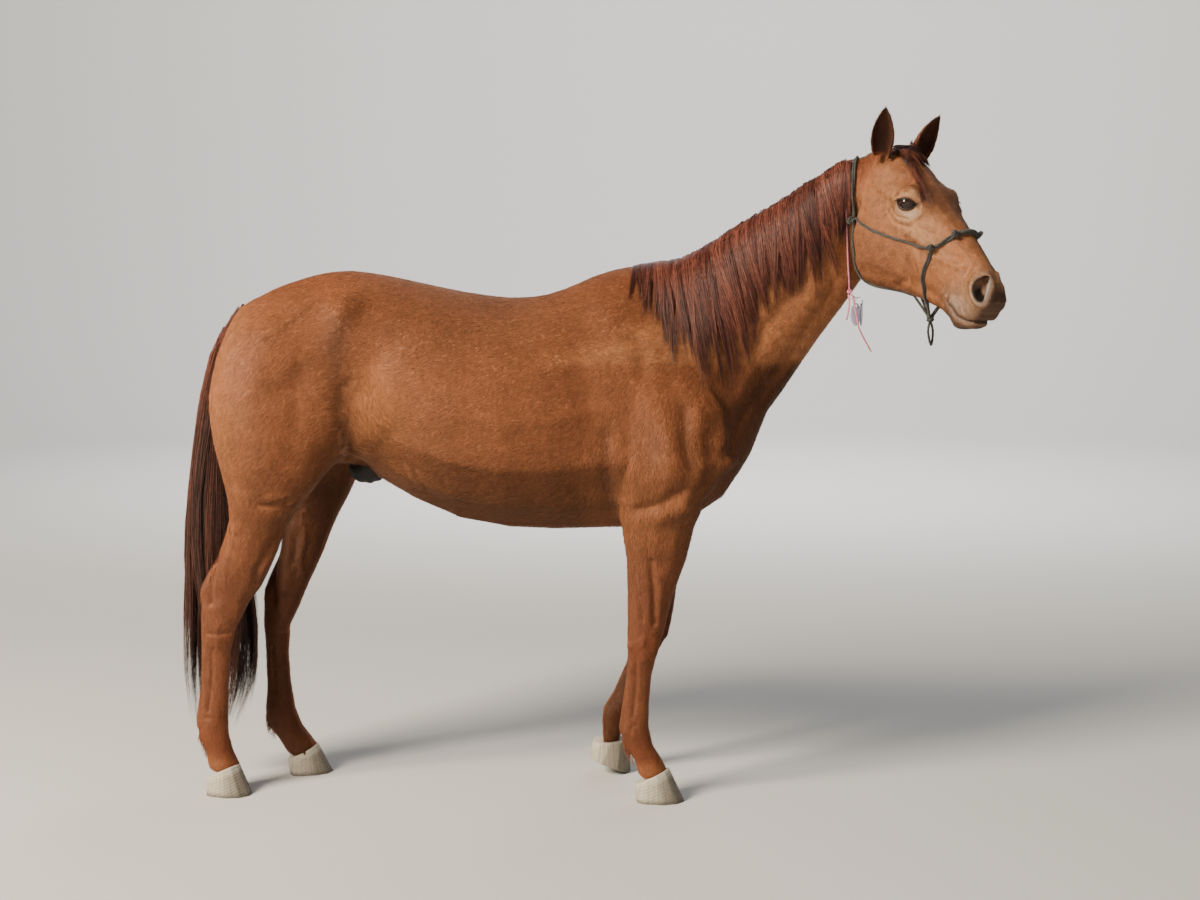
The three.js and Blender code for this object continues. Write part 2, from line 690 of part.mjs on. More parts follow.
function lay(waypoints, core, diameter, clearance = ROPE_CLEARANCE) {
  const points = [];
  for (let k = 0; k < waypoints.length - 1; k++) {
    const count = Math.max(1, Math.round(waypoints[k].distanceTo(waypoints[k + 1]) / LAY_STEP));
    for (let n = 0; n < count; n++) {
      points.push(waypoints[k].clone().lerp(waypoints[k + 1], n / count));
    }
  }
  points.push(waypoints.at(-1));
  return points.map((point) => onSkin(point, core(point), diameter / 2 + clearance));
}

function bareGeometry(geometry) {
  geometry.deleteAttribute('normal');
  geometry.deleteAttribute('uv');
  return outward(mergeVertices(geometry, 1e-3));
}

function tube(points, diameter, stepInDiameters = HELD_ROPE_STEP) {
  const path = new THREE.CatmullRomCurve3(points, false, 'centripetal');
  const section = new THREE.Shape();
  section.absellipse(0, 0, diameter / 2, diameter / 2, 0, Math.PI * 2);
  const steps = Math.max(2, Math.round(path.getLength() / (diameter * stepInDiameters)));
  const options = { steps, curveSegments: ROPE_SIDES / 2, bevelEnabled: false, extrudePath: path };
  return toSolid(bareGeometry(new THREE.ExtrudeGeometry(section, options)));
}

function knot(point, radius) {
  const geometry = new THREE.OctahedronGeometry(radius, 1);
  geometry.translate(point.x, point.y, point.z);
  return toSolid(geometry);
}

// The core of a halter rope is the middle of the head beside it.
const toHead = headFrame.clone().invert();
const HEAD_MIDDLE = -120;
const beside = (point) => headPoint(point.clone().applyMatrix4(toHead).x, 0, HEAD_MIDDLE);

const HALTER_SIDE = {
  throat: [72, 78, -192],
  cheek: [330, 66, -85],
  nose: [351, 46, -16],
};
const CHEEK_ROPE = [[126, 87, -177], [182, 86, -156], [289, 75, -112]];
const CHIN_ROPE = [[345, 58, -150], [366, 48, -200], [388, 36, -244]];
const THROAT_ROPE = [
  [90, 88, -236], [110, 88, -262], [138, 84, -283], [166, 72, -298],
  [200, 46, -320], [260, 26, -312], [330, 16, -284],
];
const NOSE_ROPE = [[342, 60, -38]];
const NOSEBAND_STEP = 1.7;
const CHIN_ROPE_WIDTH = 1.4;          // two strands side by side, in rope diameters
const chinKnot = headPoint(406, 0, -262);
const knotPlaces = { halter_knot_chin: chinKnot };
const ropes = {};

for (const [side, word] of [[RIGHT, 'right'], [LEFT, 'left']]) {
  const at = ([x, y, z]) => headPoint(x, side * y, z);
  const { throat, cheek, nose } = HALTER_SIDE;
  for (const [name, place] of Object.entries(HALTER_SIDE)) {
    const rise = KNOT_RADIUS + 1.3 * ROPE_CLEARANCE;
    knotPlaces[`halter_knot_${name}_${word}`] = onSkin(at(place), beside(at(place)), rise);
  }
  const doubled = ROPE_DIAMETER * CHIN_ROPE_WIDTH;
  ropes[`halter_cheek_${word}`] = {
    route: lay([throat, ...CHEEK_ROPE, cheek].map(at), beside, ROPE_DIAMETER),
  };
  ropes[`halter_chin_${word}`] = {
    route: [...lay([cheek, ...CHIN_ROPE].map(at), beside, doubled), chinKnot],
    diameter: doubled,
    step: 2.4,
  };
  ropes[`halter_throat_${word}`] = {
    route: [...lay([throat, ...THROAT_ROPE].map(at), beside, ROPE_DIAMETER), chinKnot],
  };
  ropes[`halter_nose_${word}`] = {
    route: lay([cheek, ...NOSE_ROPE, nose].map(at), beside, NOSEBAND_DIAMETER),
    diameter: NOSEBAND_DIAMETER,
    step: NOSEBAND_STEP,
  };
}

const overNose = [[351, -46, -16], [354, 0, -5], [351, 46, -16]]
  .map((place) => headPoint(...place));
ropes.halter_noseband = {
  route: lay(overNose, beside, NOSEBAND_DIAMETER),
  diameter: NOSEBAND_DIAMETER,
  step: NOSEBAND_STEP,
};

// The crown rope: places on the neck behind the ears, each with its angle round the neck.
const CROWN = [
  [0.951, 152], [0.951, 135], [0.952, 120], [0.953, 105], [0.954, 90],
  [0.955, 72], [0.957, 55], [0.961, 40], [0.967, 26],
];
const CROWN_CLEARANCE = 7;            // the crest is sharper than the cheeks
const CROWN_MIDDLE = 0.958;
const crownCore = torsoPoint(CROWN_MIDDLE, 0, 0);
const crown = CROWN.map(([place, angle]) => (
  torsoPoint(place, 1, THREE.MathUtils.degToRad(angle))));
ropes.halter_crown = {
  route: [
    knotPlaces.halter_knot_throat_right,
    ...lay(crown, () => crownCore, ROPE_DIAMETER, CROWN_CLEARANCE),
    ...lay([crown.at(-1), headPoint(...HALTER_SIDE.throat)], beside, ROPE_DIAMETER,
      CROWN_CLEARANCE).slice(1, -1),
    knotPlaces.halter_knot_throat_left,
  ],
  step: 2.4,
};

// The loop that hangs from the chin knot, made of one bight.
const LOOP_DROP = 70;
const LOOP_HALF_WIDTH = 9;
const loopSide = new THREE.Vector3(0.79, 0.61, 0).multiplyScalar(LOOP_HALF_WIDTH);
const belowChin = (x, z) => chinKnot.clone().add(new THREE.Vector3(x, 0, z));
ropes.halter_loop = {
  route: [
    belowChin(0, 0),
    belowChin(2, -LOOP_DROP * 0.5).add(loopSide),
    belowChin(4, -LOOP_DROP),
    belowChin(2, -LOOP_DROP * 0.5).sub(loopSide),
    belowChin(0, -12),
  ],
  diameter: ROPE_DIAMETER * 0.9,
  step: 2.6,
};

// What is left of a rope beside the ropes that are laid before it.
function besideRopes(rope, laid) {
  return laid.reduce((left, { solid, route, diameter, step }) => {
    const touching = left.intersect(solid).volume() > 0;
    return touching ? left.subtract(tube(route, diameter + 3 * GAP, step)) : left;
  }, rope);
}

// Knots are whole. Each rope stops at them, and at the ropes that are laid before it.
const laidRopes = [];
for (const [name, { route, diameter = ROPE_DIAMETER, step }] of Object.entries(ropes)) {
  const cut = Object.values(knotPlaces).reduce(
    (left, place) => left.subtract(knot(place, KNOT_RADIUS + 2 * GAP)), tube(route, diameter, step));
  const solid = mainBody(besideRopes(mainBody(cut), laidRopes));
  addMesh(name, toGeometry(solid), COLOURS.rope);
  laidRopes.push({ solid, route, diameter, step });
}
for (const [name, place] of Object.entries(knotPlaces)) {
  addMesh(name, toGeometry(knot(place, KNOT_RADIUS)), COLOURS.rope);
}

// ---------------------------------------------------------------- neck cord, ring and tags

// A thin cord round the throat, tied on its right. It lies further back over the crest than
// under the throat.
const CORD_KNOT_ANGLE = 238;
const CORD_KNOT_RADIUS = 8;
const CORD_AT_THROAT = 0.941;
const CORD_SLANT = 0.009;
const CORD_CLEARANCE = 5;

function cordPoint(degrees, rise) {
  const angle = THREE.MathUtils.degToRad(degrees);
  const place = CORD_AT_THROAT - CORD_SLANT * (1 + Math.sin(angle)) / 2;
  return torsoPoint(place, 1, angle, rise);
}

const cordLoop = [];
const CORD_TURN = 12;
for (let turn = 0; turn <= 360; turn += CORD_TURN) {
  cordLoop.push(cordPoint(CORD_KNOT_ANGLE - turn, NECK_CORD_DIAMETER / 2 + CORD_CLEARANCE));
}
const cordKnotPlace = cordPoint(CORD_KNOT_ANGLE, CORD_KNOT_RADIUS + 2 * ROPE_CLEARANCE);
const hung = (x, y, z) => cordKnotPlace.clone().add(new THREE.Vector3(x, y, z));

// The two free ends hang from the knot: a long one in front of the tags, and a short one.
const CORD_END = [
  [1, -3, 0], [4, -10, -6], [9, -19, -22], [13, -25, -44], [18, -29, -66], [22, -31, -92],
  [31, -28, -114], [45, -20, -139], [61, -14, -166],
];
const CORD_SHORT_END = [
  [-2, -1, -1], [-3, -4, -9], [-1, -9, -24], [-2, -14, -42], [-5, -17, -61], [-9, -18, -79],
];
const FREE_CORD_STEP = 2.8;           // steps in diameters
const HELD_CORD_STEP = 6.5;

// The ring hangs by a short link under the knot, and the tags hang on the ring, one turned
// towards the side and one edge on.
const RING_RADIUS = 14;
const RING_WIRE = 1.2;
const RING_SEGMENTS = [5, 16];
const ringCentre = hung(24, -14, -30);
const ringAlong = new THREE.Vector3(1, -1, 0).normalize();
const TAG_TURNS = [{ at: -135, turn: 24 }, { at: -45, turn: 72 }];

function onRing(degrees) {
  const angle = THREE.MathUtils.degToRad(degrees);
  return ringCentre.clone().addScaledVector(ringAlong, Math.cos(angle) * RING_RADIUS)
    .add(new THREE.Vector3(0, 0, Math.sin(angle) * RING_RADIUS));
}

function ring() {
  const geometry = new THREE.TorusGeometry(RING_RADIUS, RING_WIRE, ...RING_SEGMENTS);
  geometry.rotateX(Math.PI / 2);
  geometry.rotateZ(Math.atan2(ringAlong.y, ringAlong.x));
  geometry.translate(ringCentre.x, ringCentre.y, ringCentre.z);
  return toSolid(bareGeometry(geometry));
}

// An oval tag that hangs by the hole near its top.
function tag(place, turn) {
  const outline = new THREE.Shape();
  outline.absellipse(0, TAG.hole * 2 - TAG.height / 2, TAG.width / 2, TAG.height / 2,
    0, Math.PI * 2);
  const hole = new THREE.Path();
  hole.absellipse(0, 0, TAG.hole, TAG.hole, 0, Math.PI * 2, true);
  outline.holes.push(hole);
  const options = { depth: TAG.thickness, curveSegments: 6, bevelEnabled: false };
  const geometry = new THREE.ExtrudeGeometry(outline, options);
  geometry.translate(0, 0, -TAG.thickness / 2);
  geometry.rotateX(Math.PI / 2);
  geometry.rotateZ(THREE.MathUtils.degToRad(turn));
  geometry.translate(place.x, place.y, place.z);
  return toSolid(bareGeometry(geometry));
}

const cordKnot = knot(cordKnotPlace, CORD_KNOT_RADIUS);
const aroundCordKnot = knot(cordKnotPlace, CORD_KNOT_RADIUS + 2 * GAP);
const freeEnd = (route) => (
  tube(route.map((place) => hung(...place)), NECK_CORD_DIAMETER, FREE_CORD_STEP));
// The link stops short of the ring.
const LINK_AT = 135;
const LINK_SHORT = 0.12;
const linkEnd = onRing(LINK_AT).lerp(cordKnotPlace, LINK_SHORT);
const cordPieces = {
  neck_cord: tube(cordLoop, NECK_CORD_DIAMETER, HELD_CORD_STEP).subtract(aroundCordKnot),
  neck_cord_knot: cordKnot,
  neck_cord_end: freeEnd(CORD_END).subtract(aroundCordKnot),
  neck_cord_short_end: freeEnd(CORD_SHORT_END).subtract(aroundCordKnot),
  neck_cord_link: tube([hung(4, -1, -4), linkEnd], NECK_CORD_DIAMETER * 0.8)
    .subtract(aroundCordKnot),
};
for (const [name, solid] of Object.entries(cordPieces)) {
  addMesh(name, toGeometry(mainBody(solid)), COLOURS.neckCord);
}
addMesh('neck_tag_ring', toGeometry(ring()), COLOURS.ring, 0.3);
TAG_TURNS.forEach(({ at, turn }, k) => {
  addMesh(`neck_tag_${k + 1}`, toGeometry(tag(onRing(at), turn)), COLOURS.tag, 0.4);
});

// ---------------------------------------------------------------- origin

// The middle of the footprint's box, on the ground. What hangs free on the cord is left out.
const ON_CORD = ['neck_cord_end', 'neck_cord_short_end'];
const footprint = new THREE.Box3();
for (const mesh of group.children) {
  if (!ON_CORD.includes(mesh.name)) footprint.expandByObject(mesh);
}
const middle = footprint.getCenter(new THREE.Vector3());
group.position.set(-middle.x, -middle.y, -footprint.min.z);
group.updateMatrixWorld(true);

export default group;
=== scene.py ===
import json
import math

import bmesh
import bpy
import numpy as np
from mathutils import Matrix, Vector
from mathutils.bvhtree import BVHTree
from mathutils.geometry import barycentric_transform

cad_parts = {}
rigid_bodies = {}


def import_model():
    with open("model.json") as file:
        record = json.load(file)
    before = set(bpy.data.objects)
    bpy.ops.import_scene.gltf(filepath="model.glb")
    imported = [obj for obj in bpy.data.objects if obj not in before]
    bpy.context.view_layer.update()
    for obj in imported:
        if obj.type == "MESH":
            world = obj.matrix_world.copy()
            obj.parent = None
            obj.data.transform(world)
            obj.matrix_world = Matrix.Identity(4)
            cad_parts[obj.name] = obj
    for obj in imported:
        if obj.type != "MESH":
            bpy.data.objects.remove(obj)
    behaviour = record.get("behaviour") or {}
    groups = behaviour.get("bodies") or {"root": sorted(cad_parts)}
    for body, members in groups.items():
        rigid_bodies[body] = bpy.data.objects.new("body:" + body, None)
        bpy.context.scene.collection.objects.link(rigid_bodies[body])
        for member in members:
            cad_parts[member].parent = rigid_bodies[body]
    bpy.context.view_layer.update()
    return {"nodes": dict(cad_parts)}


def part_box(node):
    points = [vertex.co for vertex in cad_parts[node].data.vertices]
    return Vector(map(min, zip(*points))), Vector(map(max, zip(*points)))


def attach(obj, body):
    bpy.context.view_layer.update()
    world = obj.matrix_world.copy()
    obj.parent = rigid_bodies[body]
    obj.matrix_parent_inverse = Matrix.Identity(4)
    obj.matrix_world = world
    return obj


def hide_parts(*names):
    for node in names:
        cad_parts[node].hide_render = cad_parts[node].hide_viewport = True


for thing in list(bpy.data.objects):
    bpy.data.objects.remove(thing)
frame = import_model()

# ------------ camera
# The viewer stands at the horse's right side, with the eye as high as the withers, and looks
# slightly down along the horse's flank.

EYE_PLACE = (0.3026, -4.8972, 1.5)
LOOK_DOWN, LOOK_LEFT = math.radians(5.94), math.radians(2.5)
camera = bpy.data.objects.new("camera", bpy.data.cameras.new("camera"))
bpy.context.collection.objects.link(camera)
camera.data.lens = 52.5
camera.data.sensor_width = 36
camera.data.clip_end = 60
camera.location = EYE_PLACE
camera.rotation_euler = (math.radians(90) - LOOK_DOWN, 0, LOOK_LEFT)
bpy.context.scene.camera = camera

# ------------ floor and light
# A pale studio sweep: a floor that curves up far behind the horse, under two broad soft lamps
# and an even sky.

FLOOR_TONE = "#CFCDC9"
SKY_TONE, SKY_STRENGTH = "#E9EDF2", 0.27
FLOOR_SIDES, SWEEP_STEPS = 96, 12
SWEEP_REACH, SWEEP_RADIUS = 11.0, 5.0
# Each lamp: its place, what it aims at, its size, its power and its tone.
LAMPS = {
    "key_light": ((-4.8, -3.9, 5.2), (0.0, 0, 0.9), 2.4, 1280, "#FFF1DC"),
    "fill_light": ((5.0, -4.5, 3.4), (0, 0, 0.9), 4.5, 22, "#EEF3FF"),
    "back_light": ((1.5, 5.0, 4.6), (0, 0, 1.1), 4.0, 110, "#FFFFFF"),
    "sweep_light_back": ((0.5, 6.5, 6.5), (0.6, 14.0, 1.5), 6.0, 1300, "#FFFFFF"),
    "sweep_light_front": ((-0.5, -7.5, 6.5), (-0.6, -15.0, 1.5), 6.0, 900, "#FFFFFF"),
}


def linear(hex_value):
    """An sRGB hex colour as the linear numbers that a shader takes."""
    parts = [int(hex_value[k:k + 2], 16) / 255 for k in (1, 3, 5)]
    return tuple(c / 12.92 if c <= 0.04045 else ((c + 0.055) / 1.055) ** 2.4 for c in parts)


def node(tree, kind, inputs=None, **settings):
    """Adds a node, with its settings, and its inputs as values or as sockets to link."""
    made = tree.nodes.new(kind)
    for name, value in settings.items():
        setattr(made, name, value)
    for name, value in (inputs or {}).items():
        socket = made.inputs[name]
        if isinstance(value, bpy.types.NodeSocket):
            tree.links.new(value, socket)
        else:
            socket.default_value = value
    return made


def material(name, **inputs):
    """A new material with a bare Principled shader; returns it, its tree and the shader."""
    made = bpy.data.materials.new(name)
    made.use_nodes = True
    tree = made.node_tree
    shader = tree.nodes["Principled BSDF"]
    for key, value in inputs.items():
        shader.inputs[key.replace("_", " ")].default_value = value
    return made, tree, shader


bpy.ops.mesh.primitive_circle_add(vertices=FLOOR_SIDES, radius=SWEEP_REACH, fill_type="NGON")
floor = bpy.context.object
floor.name = "floor"
work = bmesh.new()
work.from_mesh(floor.data)
rim = [edge for edge in work.edges if edge.is_boundary]
for number in range(1, SWEEP_STEPS + 1):
    turn = math.radians(90) * number / SWEEP_STEPS
    grown = bmesh.ops.extrude_edge_only(work, edges=rim)["geom"]
    rim = [thing for thing in grown if isinstance(thing, bmesh.types.BMEdge) and thing.is_boundary]
    for vert in {vert for edge in rim for vert in edge.verts}:
        reach = SWEEP_REACH + SWEEP_RADIUS * math.sin(turn)
        vert.co.xy = vert.co.xy.normalized() * reach
        vert.co.z = SWEEP_RADIUS * (1 - math.cos(turn))
bmesh.ops.reverse_faces(work, faces=[face for face in work.faces if face.normal.z < -0.5])
work.to_mesh(floor.data)
work.free()
bpy.ops.object.shade_smooth()
paper, _, _ = material("matt_studio_paper", Base_Color=(*linear(FLOOR_TONE), 1), Roughness=0.9)
floor.data.materials.append(paper)

for name, (place, aim, size, power, tone) in LAMPS.items():
    lamp = bpy.data.objects.new(name, bpy.data.lights.new(name, "AREA"))
    lamp.data.size = size
    lamp.data.energy = power
    lamp.data.color = linear(tone)
    lamp.location = place
    lamp.rotation_euler = (Vector(aim) - Vector(place)).to_track_quat("-Z", "Y").to_euler()
    bpy.context.collection.objects.link(lamp)
sky = bpy.data.worlds.new("even_sky")
bpy.context.scene.world = sky
sky.use_nodes = True
sky.node_tree.nodes["Background"].inputs["Color"].default_value = (*linear(SKY_TONE), 1)
sky.node_tree.nodes["Background"].inputs["Strength"].default_value = SKY_STRENGTH

# ------------ skin
# The skin is one closed surface over the whole horse, without a seam, a coat's depth inside the
# outline. The parts of flesh are grown together and evened, and the muscles, bones, veins and
# folds are then modelled on it, each as a path with a width and a rise.

FLESH = ["trunk", "neck", "head", "foreleg_right", "foreleg_left", "hindleg_right",
         "hindleg_left"]
VOXEL = 0.0044
COARSE_VOXELS = (0.018, 0.018, 0.01)
OVERLAP = 0.0012  # how far each part of flesh grows into its neighbours
FACE_ROUNDS = 75  # averaging that takes the flat faces out of the coarse copies
FACET_ROUNDS, FACET_VOXEL = 24.54, 0.0042  # and out of the fine skin, at this voxel size
COAT_DEPTH = 0.0028
SIDES = ("right", "left")


def read_rows(things, field, width, kind=np.float32):
    """One field of many vertices, edges or faces, as rows of an array."""
    found = np.empty(len(things) * width, kind)
    things.foreach_get(field, found)
    return found.reshape(-1, width)


def points_of(mesh):
    return read_rows(mesh.vertices, "co", 3).astype(float)


def set_points(mesh, points):
    mesh.vertices.foreach_set("co", np.ascontiguousarray(points, np.float32).ravel())
    mesh.update()


def normals_of(mesh):
    return read_rows(mesh.vertex_normals, "vector", 3).astype(float)


def edges_of(mesh):
    return read_rows(mesh.edges, "vertices", 2, np.int32)


def make_active(thing):
    bpy.ops.object.select_all(action="DESELECT")
    thing.select_set(True)
    bpy.context.view_layer.objects.active = thing


def new_object(name, mesh):
    made = bpy.data.objects.new(name, mesh)
    bpy.context.collection.objects.link(made)
    return made


def merged_copy(names, grow):
    """One mesh of several CAD nodes: doubles merged, and each part grown a little."""
    whole = bmesh.new()
    for name in names:
        part = bmesh.new()
        part.from_mesh(frame["nodes"][name].data)
        bmesh.ops.remove_doubles(part, verts=part.verts, dist=1e-5)
        part.normal_update()
        for vert in part.verts:
            vert.co += vert.normal * grow
        mesh = bpy.data.meshes.new("part")
        part.to_mesh(mesh)
        part.free()
        whole.from_mesh(mesh)
        bpy.data.meshes.remove(mesh)
    mesh = bpy.data.meshes.new("flesh")
    whole.to_mesh(mesh)
    whole.free()
    return mesh


def remesh(thing, voxel):
    make_active(thing)
    thing.data.remesh_voxel_size = voxel
    thing.data.use_remesh_preserve_volume = False
    bpy.ops.object.voxel_remesh()


def averaged(values, edges, rounds):
    """Spreads values over the neighbours along the edges, again and again."""
    count = len(values)
    ends = np.concatenate([edges[:, 0], edges[:, 1]])
    others = np.concatenate([edges[:, 1], edges[:, 0]])
    degree = np.maximum(np.bincount(ends, minlength=count), 1)
    for _ in range(rounds):
        mean = np.stack([np.bincount(ends, column[others], count) for column in values.T], 1)
        values = (values + mean / degree[:, None]) / 2
    return values


def evened(points, edges, rounds, stages=3):
    """Takes out what is narrow and keeps the broad shape: what averaging lost is put back."""
    result = averaged(points, edges, rounds)
    for _ in range(stages - 1):
        result = result + averaged(points - result, edges, rounds)
    return result


def step(value, low, high):
    """0 below low, 1 above high, and a smooth rise between them."""
    share = np.clip((value - low) / (high - low), 0, 1)
    return share * share * (3 - 2 * share)


# The head has its own frame: x from the poll to the muzzle, y to the horse's left, z out of the
# forehead. It is turned to the right, nose down, and hangs on the two eyes.
EYE_IN_HEAD = Vector((0.188, 0, -0.046))
HEAD_TURN = (Matrix.Rotation(math.radians(-52), 3, "Z") @ Matrix.Rotation(math.radians(41), 3, "Y")
             @ Matrix.Rotation(math.radians(-1.5), 3, "X"))
eye_centre = {}
for side in SIDES:
    low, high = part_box(f"eye_{side}")
    eye_centre[side] = (low + high) / 2
EYE_RADIUS = 0.027
head_axes = np.array(HEAD_TURN)
poll = np.array((eye_centre["right"] + eye_centre["left"]) / 2 - HEAD_TURN @ EYE_IN_HEAD)
MIDDLE_Y = sum(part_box("trunk")[k].y for k in (0, 1)) / 2


def to_head(points):
    return (points - poll) @ head_axes


def from_head(points):
    return np.asarray(points) @ head_axes.T + poll


skin = new_object("skin", merged_copy(FLESH, OVERLAP))
for side in SIDES:
    bpy.ops.object.select_all(action="DESELECT")
    bpy.ops.mesh.primitive_uv_sphere_add(radius=EYE_RADIUS + 0.002, location=eye_centre[side])
    plug = bpy.context.object
    make_active(skin)
    plug.select_set(True)
    bpy.ops.object.join()

# The broad faces of the trunk are evened on coarser copies, and the fine skin follows them.
def carried(from_points, pull, to_points, cell):
    """Carries the moves of some points to others near them, through a grid of cells."""
    low = from_points.min(0) - 4 * cell
    shape = np.ceil((from_points.max(0) + 4 * cell - low) / cell).astype(int) + 1
    place = np.rint((from_points - low) / cell).astype(int)
    index = np.ravel_multi_index(place.T, shape)
    sums = [np.bincount(index, column, shape.prod()).reshape(shape)
            for column in (*pull.T, np.ones(len(index)))]
    blurred = []
    for grid in sums:
        for axis in range(3):
            grid = (np.roll(grid, 1, axis) + 2 * grid + np.roll(grid, -1, axis)) / 4
        blurred.append(grid)
    place = (to_points - low) / cell
    corner = np.clip(np.floor(place).astype(int), 0, shape - 2)
    share = place - corner
    found = np.zeros((len(to_points), 4))
    for dx in (0, 1):
        for dy in (0, 1):
            for dz in (0, 1):
                part = np.where((dx, dy, dz), share, 1 - share).prod(1)
                at = tuple((corner + (dx, dy, dz)).T)
                found += part[:, None] * np.stack([grid[at] for grid in blurred], 1)
    return found[:, :3] / np.maximum(found[:, 3:], 1e-6)


eye_places = {side: to_head(np.array(eye_centre[side])) for side in SIDES}
remesh(skin, VOXEL)
for cell in COARSE_VOXELS:
    coarse = new_object("coarse", skin.data.copy())
    remesh(coarse, cell)
    flat = points_of(coarse.data)
    broad = step(flat[:, 2], 0.6, 0.84) * (1 - step(to_head(flat)[:, 0], -0.07, 0.01))
    pull = (evened(flat, edges_of(coarse.data), FACE_ROUNDS) - flat) * broad[:, None]
    bpy.data.objects.remove(coarse)
    points = points_of(skin.data)
    points += carried(flat, pull, points, cell)
    set_points(skin.data, points)

# The eyes, nostrils and lips get a finer mesh than the rest.
FINE_SPOTS = [((0.196, 0.088, -0.046), 0.052), ((0.507, 0.044, -0.068), 0.052),
              ((0.565, 0.018, -0.11), 0.05), ((0.5, 0.03, -0.165), 0.05)]


def near_spots(head_points, spots, grow=1.0):
    near = np.zeros(len(head_points))
    for (x, y, z), reach in spots:
        for side in (1, -1):
            far = np.linalg.norm(head_points - (x, side * y, z), axis=1)
            near = np.maximum(near, 1 - step(far, reach * 0.8 * grow, reach * grow))
    return near


fine = near_spots(to_head(points), FINE_SPOTS) > 0.02
work = bmesh.new()
work.from_mesh(skin.data)
work.verts.ensure_lookup_table()
chosen = [edge for edge in work.edges if fine[edge.verts[0].index] and fine[edge.verts[1].index]]
bmesh.ops.subdivide_edges(work, edges=chosen, cuts=1, use_grid_fill=True)
bmesh.ops.triangulate(work, faces=[face for face in work.faces if len(face.verts) > 4])
work.to_mesh(skin.data)
work.free()

points = points_of(skin.data)
edges = edges_of(skin.data)
points = evened(points, edges, round(FACET_ROUNDS * (FACET_VOXEL / VOXEL) ** 2))

# Evening wears the ridges down. The line of the back and the crest of the neck get their height
# back: a place along the body and the rise there, which fades down the side.
TOP_RISE = [(-1.0, 0.0), (-0.96, 0.008), (-0.92, 0.022), (-0.87, 0.014), (-0.75, 0.01),
            (-0.63, 0.012), (-0.45, 0.01), (-0.3, 0.006), (-0.15, 0.006), (0.0, 0.01),
            (0.1, 0.014), (0.17, 0.018), (0.27, 0.013), (0.33, 0.016), (0.38, 0.026),
            (0.46, 0.034), (0.53, 0.034), (0.63, 0.03), (0.7, 0.03), (0.76, 0.032),
            (0.81, 0.02), (0.86, 0.0)]
TOP_CELL = 0.02
TOP_FADE = [(0.1, 0.26), (0.4, 0.15)]
cell = np.floor((points[:, 0] - points[:, 0].min()) / TOP_CELL).astype(int)
ridge = np.zeros(cell.max() + 1)
np.maximum.at(ridge, cell, points[:, 2])
cell_middles = points[:, 0].min() + (np.arange(len(ridge)) + 0.5) * TOP_CELL
ridge = np.interp(points[:, 0], cell_middles, ridge)
fade = np.interp(points[:, 0], *np.array(TOP_FADE).T)
near_top = step(points[:, 2], ridge - fade, ridge - 0.01)
points[:, 2] += np.interp(points[:, 0], *np.array(TOP_RISE).T) * near_top

# The angle of the jaw is round and deep.
JAW_ANGLE = (0.185, 0.062, -0.285)
JAW_REACH = (0.055, 0.045, 0.05)
JAW_PUSH = (-0.006, 0.0, -0.02)
in_head = to_head(points)
for side in (1, -1):
    far = (in_head - (JAW_ANGLE[0], side * JAW_ANGLE[1], JAW_ANGLE[2])) / JAW_REACH
    own = np.exp(-(far ** 2).sum(1)) * step(points[:, 2], 1.3, 1.36)
    in_head += own[:, None] * np.array(JAW_PUSH)
points = from_head(in_head)
set_points(skin.data, points)

# Ears: rolled shells, joined to the skull and blended in at the root. The near ear listens to
# the side, the far one to the front.
EAR_LENGTH = 0.139
EAR_AXES = {"right": (-0.4, -0.2, 0.9), "left": (-0.2, 0.02, 0.96)}
EAR_ROOT = (0.026, 0.07, -0.026)
# Along the ear: half width, depth behind the rim, and how far the rim curls round.
EAR_FORM = [(0.0, 0.024, 0.026, 150), (0.15, 0.029, 0.028, 132), (0.33, 0.0315, 0.0265, 112),
            (0.52, 0.03, 0.023, 100), (0.7, 0.024, 0.0175, 92), (0.86, 0.0145, 0.01, 88),
            (0.95, 0.0075, 0.005, 86), (1.0, 0.0012, 0.001, 86)]
EAR_WALL = 0.0042
EAR_TIP_LEAN = 0.01
EAR_RINGS, EAR_AROUND = 26, 19
EAR_OPENINGS = {"right": (0.66, -0.66, 0.2), "left": (0.9, -0.15, 0.2)}


def ear_axes(side):
    """The root of an ear, the way up it, the way it opens and the way across it."""
    outward = -1 if side == "right" else 1
    axis = np.array(EAR_AXES[side]) / np.linalg.norm(EAR_AXES[side])
    opening = np.array(EAR_OPENINGS[side])
    opening -= axis * (opening @ axis)
    opening /= np.linalg.norm(opening)
    root = np.array((EAR_ROOT[0], outward * EAR_ROOT[1], EAR_ROOT[2]))
    return root, axis, opening, np.cross(axis, opening)


def ear_place(head_points, side):
    """How far up an ear each place is, and how far out from the ear's middle line."""
    root, axis, _, _ = ear_axes(side)
    offset = head_points - root
    up = offset @ axis
    return up, np.linalg.norm(offset - np.outer(up, axis), axis=1)


def ear_rings(side):
    """Rings up an ear: over the back of its wall, round the rim and down the hollow."""
    root, axis, opening, across = ear_axes(side)
    rows = np.array(EAR_FORM)
    rings = []
    for along in np.linspace(0, 1, EAR_RINGS) ** 0.9:
        wide, deep, curl = (np.interp(along, rows[:, 0], rows[:, k]) for k in (1, 2, 3))
        angle = np.radians(np.linspace(-curl, curl, EAR_AROUND))
        wall = min(EAR_WALL, wide * 0.6)
        middle = root + axis * along * EAR_LENGTH + opening * EAR_TIP_LEAN * along ** 3
        ring = []
        for grow, order in ((0, 1), (-wall, -1)):
            for a in angle[::order]:
                hollow = max(deep + grow, 0.0004)
                ring.append(middle + across * (wide + grow) * math.sin(a)
                            - opening * hollow * math.cos(a))
        rings.append(from_head(ring))
    return rings


